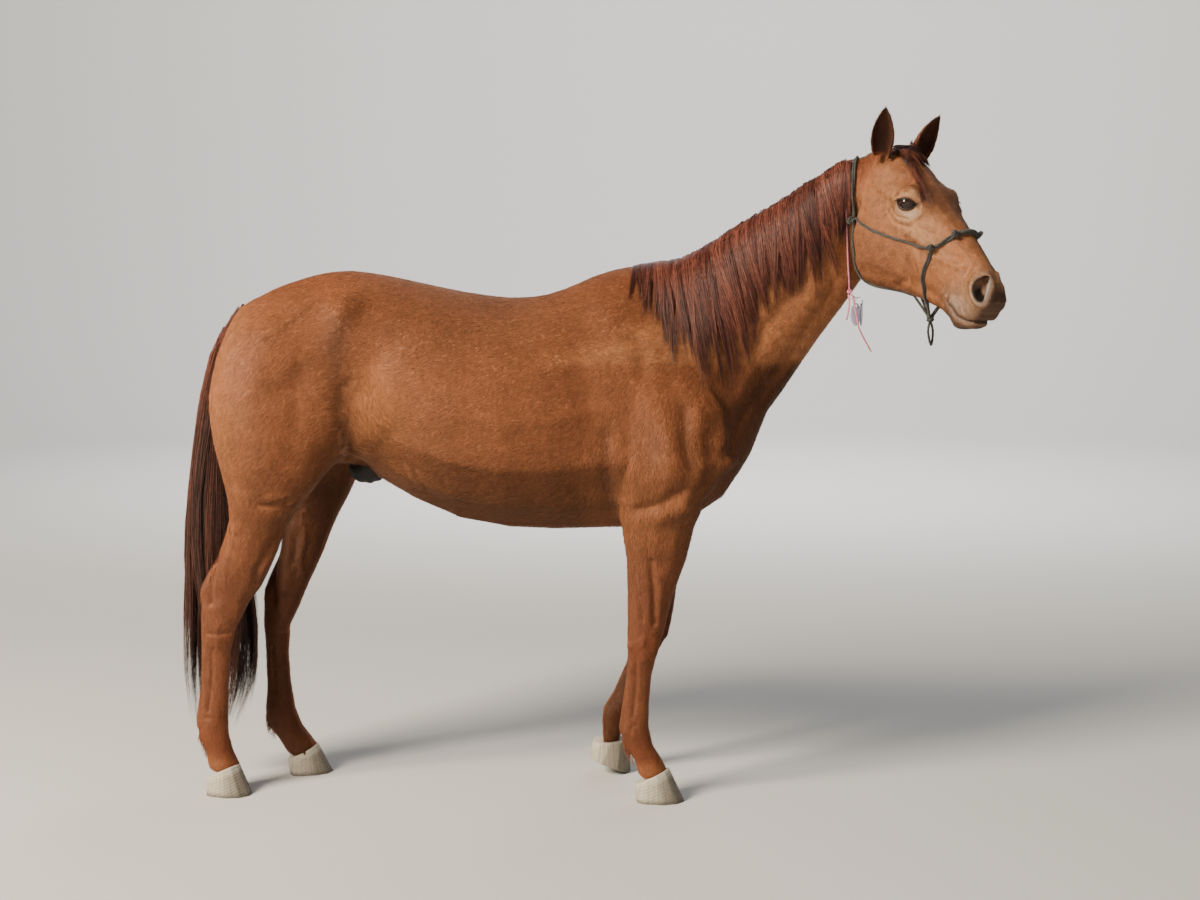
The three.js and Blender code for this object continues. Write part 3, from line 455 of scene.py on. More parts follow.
def loft_mesh(name, rings):
    """A closed mesh through rings of points, with flat ends."""
    work = bmesh.new()
    rows = [[work.verts.new(point) for point in ring] for ring in rings]
    for below, above in zip(rows[:-1], rows[1:]):
        for k in range(len(below)):
            n = (k + 1) % len(below)
            work.faces.new((below[k], below[n], above[n], above[k]))
    half = len(rows[0]) // 2
    for row in (rows[0], rows[-1]):
        for k in range(half - 1):
            work.faces.new((row[k], row[k + 1], row[-2 - k], row[-1 - k]))
    bmesh.ops.recalc_face_normals(work, faces=work.faces)
    mesh = bpy.data.meshes.new(name)
    work.to_mesh(mesh)
    work.free()
    return mesh


for side in SIDES:
    shell = new_object("ear_shell", loft_mesh("ear_shell", ear_rings(side)))
    make_active(skin)
    union = skin.modifiers.new("union", "BOOLEAN")
    union.operation = "UNION"
    union.solver = "MANIFOLD"
    union.object = shell
    bpy.ops.object.modifier_apply(modifier="union")
    bpy.data.objects.remove(shell)
points, edges = points_of(skin.data), edges_of(skin.data)
head_points = to_head(points)
blend = np.zeros(len(points))
for side in SIDES:
    up, out = ear_place(head_points, side)
    at_root = (1 - step(np.abs(up - 0.016), 0.012, 0.024)) * (1 - step(out, 0.036, 0.052))
    blend = np.maximum(blend, at_root)
softer = averaged(points, edges, 7)
points += (softer - points) * blend[:, None]
set_points(skin.data, points)
normals = normals_of(skin.data)


def line_profile(flat, path, width):
    """1 on a path, fading over a width to both sides and towards its ends."""
    path = np.asarray(path, float)
    found = np.zeros(len(flat))
    low = path.min(0) - 3 * width
    high = path.max(0) + 3 * width
    near = np.nonzero(((flat > low) & (flat < high)).all(1))[0]
    spot = flat[near]
    nearest = np.full(len(near), 1e9)
    if len(path) == 1:
        nearest = np.linalg.norm(spot - path[0], axis=1)
    for a, b in zip(path[:-1], path[1:]):
        along = np.clip((spot - a) @ (b - a) / max(((b - a) ** 2).sum(), 1e-12), 0, 1)
        nearest = np.minimum(nearest, np.linalg.norm(spot - a - along[:, None] * (b - a), axis=1))
    found[near] = np.exp(-(nearest / width) ** 2)
    return found


def side_marks(points, normals, marks, middle=0.0):
    """The rise of marks drawn on both side views: (path of x and z, width, rise) each."""
    rise = np.zeros(len(points))
    for side in (1, -1):
        facing = step(side * normals[:, 1], 0.1, 0.45) * (side * (points[:, 1] - middle) > 0)
        for path, width, height in marks:
            rise += height * facing * line_profile(points[:, (0, 2)], path, width)
    return rise


# Muscles and hollows of the body, as they show from the side: a path of (x, z), the width of
# its soft edge and its rise.
BODY_MARKS = [
    ([(0.24, 1.42), (0.31, 1.25), (0.335, 1.12)], 0.04, -0.005),  # before the shoulder
    ([(0.12, 1.38), (0.2, 1.22), (0.27, 1.08)], 0.042, 0.006),  # spine of the blade
    ([(0.17, 1.33), (0.25, 1.17)], 0.024, -0.003),
    ([(0.06, 1.36), (0.05, 1.24), (0.09, 1.08)], 0.045, -0.007),  # behind the shoulder
    ([(0.372, 1.13), (0.362, 1.035)], 0.034, 0.004),  # end of the neck muscle
    ([(0.327, 1.12), (0.328, 1.02), (0.345, 0.975)], 0.018, -0.007),
    ([(0.39, 1.04), (0.41, 0.94)], 0.03, -0.01),
    ([(0.29, 1.02), (0.3, 0.95)], 0.04, 0.01),  # point of the shoulder
    ([(0.13, 0.99), (0.22, 0.93)], 0.045, 0.009),  # upper arm
    ([(0.2, 0.845), (0.26, 0.862), (0.325, 0.9)], 0.018, -0.007),  # crease of the elbow
    ([(0.27, 0.83), (0.33, 0.85)], 0.022, 0.008),
    ([(0.112, 1.04), (0.116, 0.93), (0.124, 0.84)], 0.024, -0.007),  # behind the elbow
    ([(-0.5, 1.27), (-0.545, 1.17)], 0.05, -0.012),  # hollow of the flank
    ([(-0.585, 0.96), (-0.545, 1.01), (-0.5, 1.08)], 0.026, 0.007),  # fold of the flank
    ([(-0.578, 1.16), (-0.585, 1.06), (-0.61, 0.99)], 0.024, -0.009),
    ([(-0.6, 1.395)], 0.042, 0.012),  # point of the hip
    ([(-0.66, 1.33), (-0.63, 1.22)], 0.035, -0.007),
    ([(-0.7, 1.3), (-0.715, 1.13), (-0.74, 0.98)], 0.026, -0.006),  # before the thigh muscle
    ([(-0.8, 1.34), (-0.85, 1.16), (-0.83, 0.97)], 0.05, 0.007),
    ([(-0.965, 1.28), (-0.945, 1.08), (-0.9, 0.9)], 0.018, -0.007),  # down the hamstring
    ([(-0.66, 0.905)], 0.032, 0.009),  # stifle
    ([(-0.835, 0.852), (-0.79, 0.848), (-0.745, 0.868)], 0.008, -0.008),
    ([(-0.82, 0.872), (-0.76, 0.88)], 0.01, 0.005),
    ([(-0.43, 0.965), (-0.41, 0.9)], 0.01, -0.003),
    ([(-0.395, 0.95), (-0.375, 0.88)], 0.01, -0.003),
    ([(0.74, 1.43), (0.62, 1.26), (0.5, 1.1), (0.45, 1.0)], 0.02, -0.011),  # jugular groove
    ([(0.8, 1.52), (0.7, 1.36), (0.6, 1.2)], 0.015, 0.005),  # windpipe
    ([(0.62, 1.58), (0.47, 1.42), (0.38, 1.3)], 0.06, 0.007),  # neck muscle
    ([(0.66, 1.48), (0.52, 1.3)], 0.018, -0.005),
    ([(0.7, 1.55), (0.74, 1.47)], 0.012, -0.004),
]
rise = side_marks(points, normals, BODY_MARKS, MIDDLE_Y)

# The fold of the flank is thin: outside the sheath the skin is drawn up between belly and thigh.
FOLD, FOLD_REACH = (-0.602, 0.915), (0.042, 0.05)
FOLD_RISE = 0.05
fold = np.exp(-((points[:, 0] - FOLD[0]) / FOLD_REACH[0]) ** 2
              - ((points[:, 2] - FOLD[1]) / FOLD_REACH[1]) ** 2)
points[:, 2] += FOLD_RISE * fold * step(np.abs(points[:, 1] - MIDDLE_Y), 0.03, 0.07)

# Down the middle: the spine, the cleft of the breast and the cleft under the tail.
off_middle = points[:, 1] - MIDDLE_Y
upward = step(normals[:, 2], 0.5, 0.8)
on_back = step(points[:, 0], -0.92, -0.8) * (1 - step(points[:, 0], -0.02, 0.08))
rise -= 0.005 * upward * on_back * np.exp(-(off_middle / 0.02) ** 2)
rise += 0.004 * upward * on_back * np.exp(-((np.abs(off_middle) - 0.07) / 0.035) ** 2)
forward = step(normals[:, 0], 0.4, 0.8) * step(points[:, 0], 0.36, 0.42)
low_breast = step(points[:, 2], 0.82, 0.9) * (1 - step(points[:, 2], 1.05, 1.15))
rise -= 0.014 * forward * low_breast * np.exp(-(off_middle / 0.016) ** 2)
backward = step(-normals[:, 0], 0.3, 0.8) * (1 - step(points[:, 0], -0.86, -0.82))
rise -= 0.02 * backward * (1 - step(points[:, 2], 1.3, 1.38)) * np.exp(-(off_middle / 0.018) ** 2)

# Legs. Each is drawn on its own side view, on its outer face, its inner face or both.
FORE_OUT = [
    ([(0.235, 0.7), (0.243, 0.61), (0.247, 0.52)], 0.008, -0.008),  # between the forearm muscles
    ([(0.205, 0.6), (0.215, 0.53)], 0.006, -0.003),
    ([(0.262, 0.66), (0.258, 0.54)], 0.012, 0.004),
]
FORE_BONES = [
    ([(0.25, 0.47), (0.254, 0.425)], 0.012, 0.004),  # knee
    ([(0.214, 0.475), (0.214, 0.462)], 0.01, 0.004),
    ([(0.215, 0.418)], 0.01, 0.004),
    ([(0.176, 0.452)], 0.012, 0.006),
    ([(0.19, 0.43), (0.196, 0.36), (0.186, 0.25)], 0.005, -0.0045),  # before the tendons
    ([(0.178, 0.39), (0.166, 0.25)], 0.006, 0.0025),
    ([(0.193, 0.195)], 0.018, 0.0035),  # fetlock
    ([(0.158, 0.205)], 0.012, 0.0035),
    ([(0.19, 0.225)], 0.008, -0.003),
]
HIND_OUT = [
    ([(-0.768, 0.812), (-0.82, 0.74), (-0.868, 0.66), (-0.874, 0.62)], 0.006, -0.0065),
    ([(-0.752, 0.8), (-0.81, 0.72), (-0.855, 0.65)], 0.007, 0.004),
    ([(-0.865, 0.615), (-0.835, 0.63)], 0.006, -0.004),
    ([(-0.93, 0.78), (-0.955, 0.68), (-0.96, 0.62)], 0.016, 0.004),
]
HIND_BONES = [
    ([(-0.985, 0.7), (-1.0, 0.63), (-1.0, 0.565)], 0.009, -0.01),  # before the hamstring cord
    ([(-1.03, 0.6), (-1.035, 0.575)], 0.012, 0.005),  # point of the hock
    ([(-0.975, 0.56), (-0.96, 0.52)], 0.014, 0.004),
    ([(-0.925, 0.545), (-0.935, 0.5)], 0.01, 0.004),
    ([(-0.985, 0.5), (-0.99, 0.44)], 0.01, 0.003),
    ([(-0.945, 0.475), (-1.02, 0.475)], 0.006, -0.003),
    ([(-1.005, 0.43), (-1.01, 0.34), (-1.022, 0.25)], 0.005, -0.0045),  # before the tendons
    ([(-1.032, 0.42), (-1.036, 0.27)], 0.006, 0.0025),
    ([(-1.02, 0.2)], 0.018, 0.0035),  # fetlock
    ([(-1.058, 0.205)], 0.012, 0.0035),
    ([(-1.025, 0.23)], 0.008, -0.003),
]
FAR_GASKIN = [
    ([(-0.789, 0.79), (-0.787, 0.71), (-0.803, 0.65), (-0.8, 0.6)], 0.007, 0.006),  # vein
    ([(-0.845, 0.74), (-0.842, 0.65), (-0.85, 0.56)], 0.024, 0.01),
    ([(-0.812, 0.72), (-0.822, 0.64)], 0.008, -0.005),
]


def shifted(marks, places):
    """The marks of one leg carried to its pair: places are (height, shift in x, shift in z)."""
    heights = [row[0] for row in places]
    moved = []
    for path, width, height in marks:
        moved.append(([(x + np.interp(z, heights, [row[1] for row in places]),
                        z + np.interp(z, heights, [row[2] for row in places]))
                       for x, z in path], width, height))
    return moved


LEFT_FORE_SHIFT = [(0.15, -0.15, 0.0), (0.2, -0.14, -0.03), (0.28, -0.085, -0.02),
                   (0.36, -0.01, 0.0), (0.45, 0.036, -0.004), (0.6, 0.028, 0.0), (0.85, 0, 0)]
LEFT_HIND_SHIFT = [(0.19, 0.15, -0.035), (0.3, 0.125, -0.03), (0.45, 0.11, -0.04),
                   (0.6, 0.118, -0.045), (0.75, 0.09, -0.03), (0.9, 0.03, 0)]


def leg_marks(body_side, marks, faces, low, high):
    """The rise of marks on one leg, between two heights: on its outer, its inner or both faces."""
    level = step(points[:, 2], low, low + 0.05) * (1 - step(points[:, 2], high - 0.05, high))
    own = (points[:, 1] - MIDDLE_Y) * body_side > 0
    found = np.zeros(len(points))
    for face in faces:
        facing = step(face * normals[:, 1], 0.05, 0.4)
        for path, width, height in marks:
            found += height * facing * own * level * line_profile(points[:, (0, 2)], path, width)
    return found


rise += leg_marks(-1, FORE_OUT, (-1,), 0.45, 0.82) + leg_marks(-1, FORE_BONES, (-1, 1), 0.1, 0.55)
rise += leg_marks(1, shifted(FORE_OUT, LEFT_FORE_SHIFT), (1,), 0.45, 0.82)
rise += leg_marks(1, shifted(FORE_BONES, LEFT_FORE_SHIFT), (-1, 1), 0.06, 0.55)
rise += leg_marks(-1, HIND_OUT, (-1,), 0.55, 0.9) + leg_marks(-1, HIND_BONES, (-1, 1), 0.1, 0.78)
rise += leg_marks(1, shifted(HIND_OUT, LEFT_HIND_SHIFT), (1,), 0.5, 0.9)
rise += leg_marks(1, shifted(HIND_BONES, LEFT_HIND_SHIFT), (-1, 1), 0.06, 0.74)
rise += leg_marks(1, FAR_GASKIN, (-1,), 0.5, 0.88)
points += normals * rise[:, None]

# Head, in its own frame.
EYE_SLIT = math.radians(26)
JAW_GROOVE = [(0.048, -0.165), (0.066, -0.22), (0.098, -0.272), (0.14, -0.308)]
HEAD_MARKS = [
    ([(0.15, -0.038), (0.18, -0.012), (0.215, -0.01), (0.24, -0.022)], 0.01, 0.005),  # brow
    ([(0.115, -0.018), (0.142, -0.01)], 0.014, -0.008),  # hollow over the eye
    ([(0.16, -0.062), (0.105, -0.076), (0.055, -0.082)], 0.01, 0.004),
    ([(0.17, 0.012), (0.225, -0.016)], 0.008, -0.003),
    ([(0.236, -0.102), (0.265, -0.097), (0.318, -0.088)], 0.012, 0.0045),  # facial crest
    ([(0.255, -0.128), (0.33, -0.118)], 0.014, -0.005),
    ([(0.278, -0.125), (0.298, -0.17), (0.308, -0.215), (0.29, -0.255)], 0.013, -0.008),
    ([(0.175, -0.205)], 0.065, 0.008),  # cheek
    ([(0.235, -0.15), (0.24, -0.215)], 0.022, 0.004),
    (JAW_GROOVE, 0.013, -0.012),  # between jaw and neck
    ([(0.335, -0.195), (0.43, -0.18)], 0.016, -0.005),
    ([(0.25, -0.022), (0.33, -0.03), (0.42, -0.038)], 0.008, 0.0025),
    ([(0.345, -0.062), (0.44, -0.062)], 0.014, -0.004),
    ([(0.33, -0.105), (0.4, -0.078), (0.455, -0.04)], 0.009, 0.003),
    ([(0.16, -0.086), (0.192, -0.09), (0.226, -0.072)], 0.0035, -0.0022),  # folds under the eye
    ([(0.15, -0.1), (0.195, -0.108), (0.243, -0.086)], 0.004, -0.002),
    ([(0.172, -0.022), (0.196, -0.006), (0.222, -0.008)], 0.0035, -0.002),
    ([(0.395, -0.13), (0.44, -0.12)], 0.02, 0.004),
    ([(0.43, -0.15), (0.422, -0.172), (0.432, -0.19)], 0.005, -0.003),  # beside the mouth
    ([(0.418, -0.14), (0.408, -0.17)], 0.005, -0.002),
    ([(0.45, -0.035), (0.462, -0.078), (0.478, -0.108)], 0.007, -0.004),  # behind the nostril
    ([(0.436, -0.052), (0.446, -0.085)], 0.005, -0.002),
]
head_points = to_head(points)
head_normals = normals @ head_axes
on_head = step(head_points[:, 0], 0.0, 0.05) * step(points[:, 2], 1.22, 1.26)
rise = side_marks(head_points, head_normals, HEAD_MARKS) * on_head
beneath = step(-head_normals[:, 2], 0.4, 0.8) * step(head_points[:, 0], 0.1, 0.16)
beneath *= 1 - step(head_points[:, 0], 0.4, 0.46)
rise -= 0.012 * beneath * np.exp(-(head_points[:, 1] / 0.02) ** 2)
MOUTH = [(0.448, -0.168), (0.47, -0.164), (0.498, -0.168), (0.532, -0.158), (0.562, -0.134),
         (0.585, -0.118)]
LOWER_LIP = [(0.475, -0.178), (0.505, -0.181), (0.535, -0.172), (0.56, -0.152)]
UPPER_LIP = [(0.465, -0.15), (0.5, -0.153), (0.53, -0.142), (0.56, -0.118)]
side_view = head_points[:, (0, 2)]
rise -= 0.01 * on_head * line_profile(side_view, MOUTH, 0.0036)
rise += 0.0035 * on_head * line_profile(side_view, LOWER_LIP, 0.009)
rise += 0.003 * on_head * line_profile(side_view, UPPER_LIP, 0.01)
rise += 0.004 * on_head * line_profile(side_view, [(0.505, -0.205)], 0.02)
head_points += head_normals * rise[:, None]

# Nostrils: a comma-shaped opening with a rolled rim, and a wing that closes its lower end.
NOSTRIL = (0.508, -0.066)
NOSTRIL_TILT = math.radians(-50)
NOSTRIL_REACH = (0.037, 0.0215)
NOSTRIL_BEND = 4.0


def nostril_place(head_points):
    """Places along and across the bent middle line of a nostril, from its middle."""
    offset = head_points[:, (0, 2)] - NOSTRIL
    along = np.array((math.cos(NOSTRIL_TILT), math.sin(NOSTRIL_TILT)))
    s = offset @ along
    return s, offset @ (-along[1], along[0]) - NOSTRIL_BEND * s * s


nostril_rim = {}
for side in (-1, 1):
    facing = step(side * head_normals[:, 1], -0.1, 0.25) * (side * head_points[:, 1] > 0.012)
    s, t = nostril_place(head_points)
    far = np.sqrt((s / NOSTRIL_REACH[0]) ** 2 + (t / NOSTRIL_REACH[1]) ** 2)
    around = (far > 1.0) & (far < 1.25) & (facing > 0.5)
    nostril_rim[side] = np.abs(head_points[around, 1]).min()
    pit = (1 - step(far, 0.5, 0.98)) * facing * (1 - 0.7 * step(t, 0.004, 0.011))
    rim = np.exp(-((far - 1.18) / 0.24) ** 2) * facing
    head_points[:, 1] -= side * 0.034 * pit
    head_points[:, 0] -= 0.01 * pit
    head_points += head_normals * (0.0032 * rim)[:, None]

# Eyes: the lids hug the eyeball and leave an almond opening; inside it the skin sinks away.
SLIT_HALF = 0.0238
LID_RISE = {"upper": 0.0144, "lower": 0.0122}
LID_DEPTH, LID_CREASE = 0.0024, 0.0016
EYE_AIM = math.radians(28)


def eye_axes(side):
    """The way an eye looks, the line from corner to corner of its lids, and the way over it."""
    outward = -1 if side == "right" else 1
    aim = np.array((math.sin(EYE_AIM), outward * math.cos(EYE_AIM), 0.04))
    aim /= np.linalg.norm(aim)
    slit = np.array((math.cos(EYE_SLIT), 0, math.sin(EYE_SLIT)))
    slit -= aim * (slit @ aim)
    slit /= np.linalg.norm(slit)
    return aim, slit, np.cross(aim, slit) * outward * -1


def lid_height(place, lid):
    """How far the lid's edge is from the slit's line, along the slit from corner to corner."""
    share = np.clip(1 - (place / SLIT_HALF) ** 2, 0, 1)
    return LID_RISE[lid] * share ** 0.75


def eye_place(head_points, side):
    """Where places are round an eye: near it or not, how far from its middle and which way, over
    the slit or under it, and how far outside the edge of the lids."""
    aim, slit, over = eye_axes(side)
    offset = head_points - eye_places[side]
    far = np.linalg.norm(offset, axis=1)
    direction = offset / far[:, None]
    near = (far < EYE_RADIUS * 1.9) & (direction @ aim > 0.15)
    u = (direction @ slit) * EYE_RADIUS
    v = (direction @ over) * EYE_RADIUS
    edge = np.where(v > 0, lid_height(u, "upper"), lid_height(u, "lower"))
    past_corner = np.hypot(np.abs(u) - SLIT_HALF, v)
    outside = np.where(np.abs(u) > SLIT_HALF, past_corner, np.abs(v) - edge)
    return near, far, direction, v > 0, outside


for side in SIDES:
    near, far, direction, above, outside = eye_place(head_points, side)
    lid = EYE_RADIUS + LID_DEPTH * step(outside, -0.0008, 0.0012)
    lid = lid - 0.004 * step(-outside, -0.0004, 0.0022)
    crease = LID_CREASE * np.exp(-((outside - 0.0068) / 0.0016) ** 2) * above
    hug = (1 - step(outside, 0.004, 0.01)) * near
    radius = far + (lid - far) * hug - crease * near
    head_points = np.where(near[:, None], eye_places[side] + direction * radius[:, None],
                           head_points)

points = np.where(on_head[:, None] > 0, from_head(head_points), points)
set_points(skin.data, points)
normals = normals_of(skin.data)
bare = near_spots(to_head(points), FINE_SPOTS, 1.1)
# An ear's wall is thin and its hair short, so it sinks less.
for side in SIDES:
    up, out = ear_place(to_head(points), side)
    bare = np.maximum(bare, 0.75 * step(up, 0.0, 0.02) * (out < 0.05))
points -= normals * (COAT_DEPTH * (1 - bare))[:, None]
set_points(skin.data, points)

# ------------ coat colours
# A red chestnut without white marks: warm copper on the back and sides, browner along the loins,
# darker on the legs and the neck, greyish tan round the eyes and on the muzzle. Painted shade
# darkens the underside, the insides of the legs, the breast, the throat, the hollows, the underside
# of the head and the groove behind the jaw, and deepens the nostrils and the insides of the ears.

COPPER = "#8C5535"
TONES = {
    "pale": "#AC7045", "deep": "#7A3D20", "leg": "#7E4A2F", "tan": "#AC8460", "muzzle": "#8F7259",
    "grey": "#A08D7C", "dark": "#3A2620", "black": "#191413", "pink": "#9C7A70", "ear": "#40241A",
    "shade": "#42240F", "wall": "#857A72", "dusk": "#6E4630",
}
# Hollows that hold a shadow, on the outer sides: a path of x and z, its width and its share.
HOLLOWS = [
    ([(-0.56, 1.4), (-0.605, 1.33), (-0.612, 1.19), (-0.605, 1.08), (-0.59, 1.01)], 0.034, 0.55),
    ([(-0.8, 1.31), (-0.74, 1.36), (-0.69, 1.4)], 0.014, 0.3),
    ([(-0.8, 1.18), (-0.7, 1.24), (-0.63, 1.29)], 0.024, 0.3),
    ([(0.112, 1.06), (0.116, 0.93), (0.12, 0.85)], 0.022, 0.4),
    ([(0.33, 1.13), (0.33, 1.03), (0.345, 0.97)], 0.02, 0.3),
]


def mixed(one, other, share):
    """One value where the share is 0, the other where it is 1, and both in between."""
    return one * (1 - share) + other * share


def painted(points, normals):
    """The coat's colour at places on the body, with its painted shade, the same for the skin and for
    the tufts.
    """
    x, y, z = points.T
    on_side = np.abs(y - MIDDLE_Y)
    head_points = to_head(points)
    hx, hy, hz = head_points.T
    head_normals = normals @ head_axes
    on_head = step(hx, -0.02, 0.06) * step(z, 1.22, 1.26)
    colour = np.tile(linear(COPPER), (len(points), 1))

    def lay_on(tone, share):
        nonlocal colour
        share = np.clip(share, 0, 1)[:, None]
        colour = mixed(colour, np.array(linear(TONES[tone])), share)

    def spot(centre, reach):
        found = np.zeros(len(points))
        for side in (1, -1):
            offset = (head_points - (centre[0], side * centre[1], centre[2])) / reach
            found = np.maximum(found, np.exp(-(offset ** 2).sum(1)))
        return found

    def on_body(tone, share):
        lay_on(tone, (1 - on_head) * share)

    def on_face(tone, share):
        lay_on(tone, on_head * share)

    body = 1 - on_head
    on_body("deep", 0.55 * step(z, 1.1, 1.5) * step(x, 0.1, 0.45))
    on_body("deep", 0.35 * step(z, 1.36, 1.5) * (1 - step(x, 0.1, 0.3)))
    on_body("dusk", 0.55 * np.exp(-((x + 0.22) / 0.22) ** 2) * step(z, 1.2, 1.38))
    belly = (1 - step(z, 0.8, 1.0)) * step(z, 0.72, 0.78) * step(x, -0.6, -0.45)
    on_body("pale", 0.25 * belly)
    on_body("pale", 0.5 * np.exp(-((x + 0.5) / 0.1) ** 2 - ((z - 1.08) / 0.14) ** 2))
    on_body("pale", 0.4 * np.exp(-((x + 0.93) / 0.06) ** 2) * step(z, 0.8, 1.0))
    low = 1 - step(z, 0.62, 0.86)
    on_body("leg", 0.9 * low)
    on_body("deep", 0.45 * np.exp(-((z - 0.455) / 0.05) ** 2) * step(x, -0.1, 0.1))
    on_body("deep", 0.4 * (1 - step(z, 0.13, 0.3)))
    on_body("pale", 0.35 * (1 - step(z, 0.095, 0.13)))
    # Painted shade between the thighs.
    shade_between_thighs = (1 - step(on_side, 0.06, 0.15)) * (1 - step(x, -0.8, -0.5))
    on_body("deep", 0.6 * shade_between_thighs * (1 - step(z, 0.8, 1.0)))
    # Painted shade underneath and inside the legs, where the light falls off.
    under = step(-normals[:, 2], -0.2, 0.75) * body * step(z, 0.3, 0.6)
    lay_on("shade", 0.62 * under)
    # Painted shade that grows down the lower barrel, softening the edge of the key light's shade.
    barrel = step(x, -0.52, -0.35) * (1 - step(x, 0.02, 0.1)) * step(z, 0.72, 0.8)
    on_body("shade", 0.45 * barrel * (1 - step(z, 0.84, 1.04)))
    inner = step(normals[:, 1] * np.where(y < MIDDLE_Y, 1, -1), 0.1, 0.7) * body
    lay_on("shade", 0.8 * inner * (1 - step(z, 0.85, 1.0)))
    # Painted shade on the breast.
    breast = body * step(x, 0.25, 0.5) * (1 - step(z, 1.1, 1.45)) * step(normals[:, 0], -0.1, 0.8)
    lay_on("shade", 0.65 * breast * step(z, 0.6, 0.8))
    # Painted shade on the throat.
    throat = body * step(x, 0.4, 0.6) * step(-normals[:, 2] + 0.5 * normals[:, 0], 0.0, 0.85)
    lay_on("shade", 0.6 * throat)
    outside = body * step(-normals[:, 1], 0.1, 0.5) + body * step(normals[:, 1], 0.1, 0.5)
    for path, width, share in HOLLOWS:
        lay_on("shade", share * outside * line_profile(points[:, (0, 2)], path, width))
    sheath = ((x + 0.569) / 0.085) ** 2 + (on_side / 0.055) ** 2 + ((z - 0.905) / 0.06) ** 2
    on_body("black", 0.96 * (1 - step(sheath, 0.8, 1.3)))

    on_face("pale", 0.45)
    on_face("dusk", 0.85 * spot((0.15, 0.0, 0.03), (0.12, 0.065, 0.05)))
    on_face("dusk", 0.6 * step(hz, -0.045, 0.0) * step(hx, 0.15, 0.22))
    on_face("tan", 0.62 * spot((0.2, 0.085, -0.062), (0.075, 0.05, 0.04)))
    on_face("tan", 0.45 * spot((0.3, 0.06, -0.09), (0.07, 0.05, 0.04)))
    # Painted shade in the hollow over the eye.
    on_face("deep", 0.45 * spot((0.125, 0.055, -0.01), (0.03, 0.03, 0.022)))
    on_face("deep", 0.3 * spot((0.16, 0.0, 0.02), (0.06, 0.045, 0.05)))
    # The lower cheek: darker hair, with painted shadow.
    on_face("leg", 0.75 * spot((0.2, 0.08, -0.235), (0.11, 0.07, 0.075)))
    # Painted shade where the head faces down, behind the muzzle.
    on_face("deep", 0.35 * step(-head_normals[:, 2], 0.2, 0.7) * (1 - step(hx, 0.36, 0.44)))
    on_face("muzzle", 0.85 * step(hx, 0.405, 0.515) * (1 - 0.35 * step(hz, -0.12, -0.06)))
    on_face("grey", 0.65 * spot((0.47, 0.045, -0.15), (0.048, 0.05, 0.028)))
    on_face("pink", 0.45 * spot((0.47, 0.04, -0.168), (0.03, 0.05, 0.012)))
    on_face("dark", 0.72 * step(hx, 0.508, 0.55) * (1 - step(-hz, 0.135, 0.16)))
    on_face("dark", 0.36 * step(-hz, 0.15, 0.185) * step(hx, 0.4, 0.46))
    # Painted shade in the groove between the jaw and the neck.
    jaw = np.abs(head_normals[:, 1]) * line_profile(head_points[:, (0, 2)], JAW_GROOVE, 0.013)
    lay_on("shade", 0.7 * step(hx, 0.0, 0.05) * step(z, 1.22, 1.26) * step(jaw, 0.05, 0.6))
    mottle = np.sin(210 * hx + 4 * np.sin(130 * hz)) * np.sin(190 * hz + 4 * np.sin(140 * hx))
    on_face("dusk", 0.26 * step(mottle, 0.0, 0.8))
    on_face("tan", 0.22 * step(-mottle, 0.1, 0.8))
    blotch = np.sin(61 * hx + 5 * np.sin(43 * hz)) * np.sin(57 * hz + 4 * np.sin(39 * hx) + 2.0)
    on_face("dusk", 0.42 * step(blotch, 0.1, 0.9) * (1 - step(hx, 0.4, 0.48)))
    on_face("dark", 0.36 * step(-blotch, 0.0, 0.8) * step(hx, 0.42, 0.5))
    on_face("dark", 0.55 * spot((0.54, 0.02, -0.06), (0.035, 0.03, 0.03)))
    on_face("dark", 0.75 * spot((0.52, 0.0, -0.192), (0.055, 0.04, 0.018)))
    # Painted shade on the underside of the head.
    on_face("shade", 0.45 * step(-head_normals[:, 2], 0.1, 0.7) * step(hx, 0.05, 0.12))
    side_view = head_points[:, (0, 2)]
    on_face("dark", 0.92 * line_profile(side_view, MOUTH, 0.0045))
    for side in (-1, 1):
        facing = step(side * hy, 0.012, 0.02)
        s, t = nostril_place(head_points)
        far = np.sqrt((s / NOSTRIL_REACH[0]) ** 2 + (t / NOSTRIL_REACH[1]) ** 2)
        facing = facing * on_head
        lay_on("grey", 0.35 * facing * np.exp(-((far - 1.12) / 0.12) ** 2))
        lay_on("wall", 0.9 * facing * (1 - step(far, 0.85, 1.02)))
        # Black inside the nostril: dark skin, with painted shade where the passage goes deep.
        deep = step(nostril_rim[side] - side * hy, 0.002, 0.009) * (far < 1.5)
        lay_on("black", facing * deep)
        lay_on("black", facing * (1 - step(far, 0.86, 1.0)) * (1 - step(t, 0.008, 0.013)))
    for name in SIDES:
        up, out = ear_place(head_points, name)
        up = up / EAR_LENGTH
        own = (up > 0.02) * (up < 1.1) * (out < 0.045)
        inside = own * step(head_normals @ ear_axes(name)[2], -0.05, 0.25)
        # Inside the ear: dark skin, with painted shade in its hollow.
        lay_on("ear", 0.95 * inside * step(up, 0.03, 0.12))
        lay_on("deep", 0.5 * own * step(up, 0.35, 0.8) * (1 - inside))
        lay_on("dark", 0.6 * own * step(up, 0.86, 1.0))
        facing, _, _, above, beyond = eye_place(head_points, name)
        lay_on("tan", 0.5 * facing * np.exp(-((beyond - 0.012) / 0.006) ** 2))
        lay_on("grey", 0.55 * facing * ~above * np.exp(-((beyond - 0.0075) / 0.003) ** 2))
        lay_on("dark", 0.9 * facing * (1 - step(beyond, 0.0026, 0.0052)))
    return colour


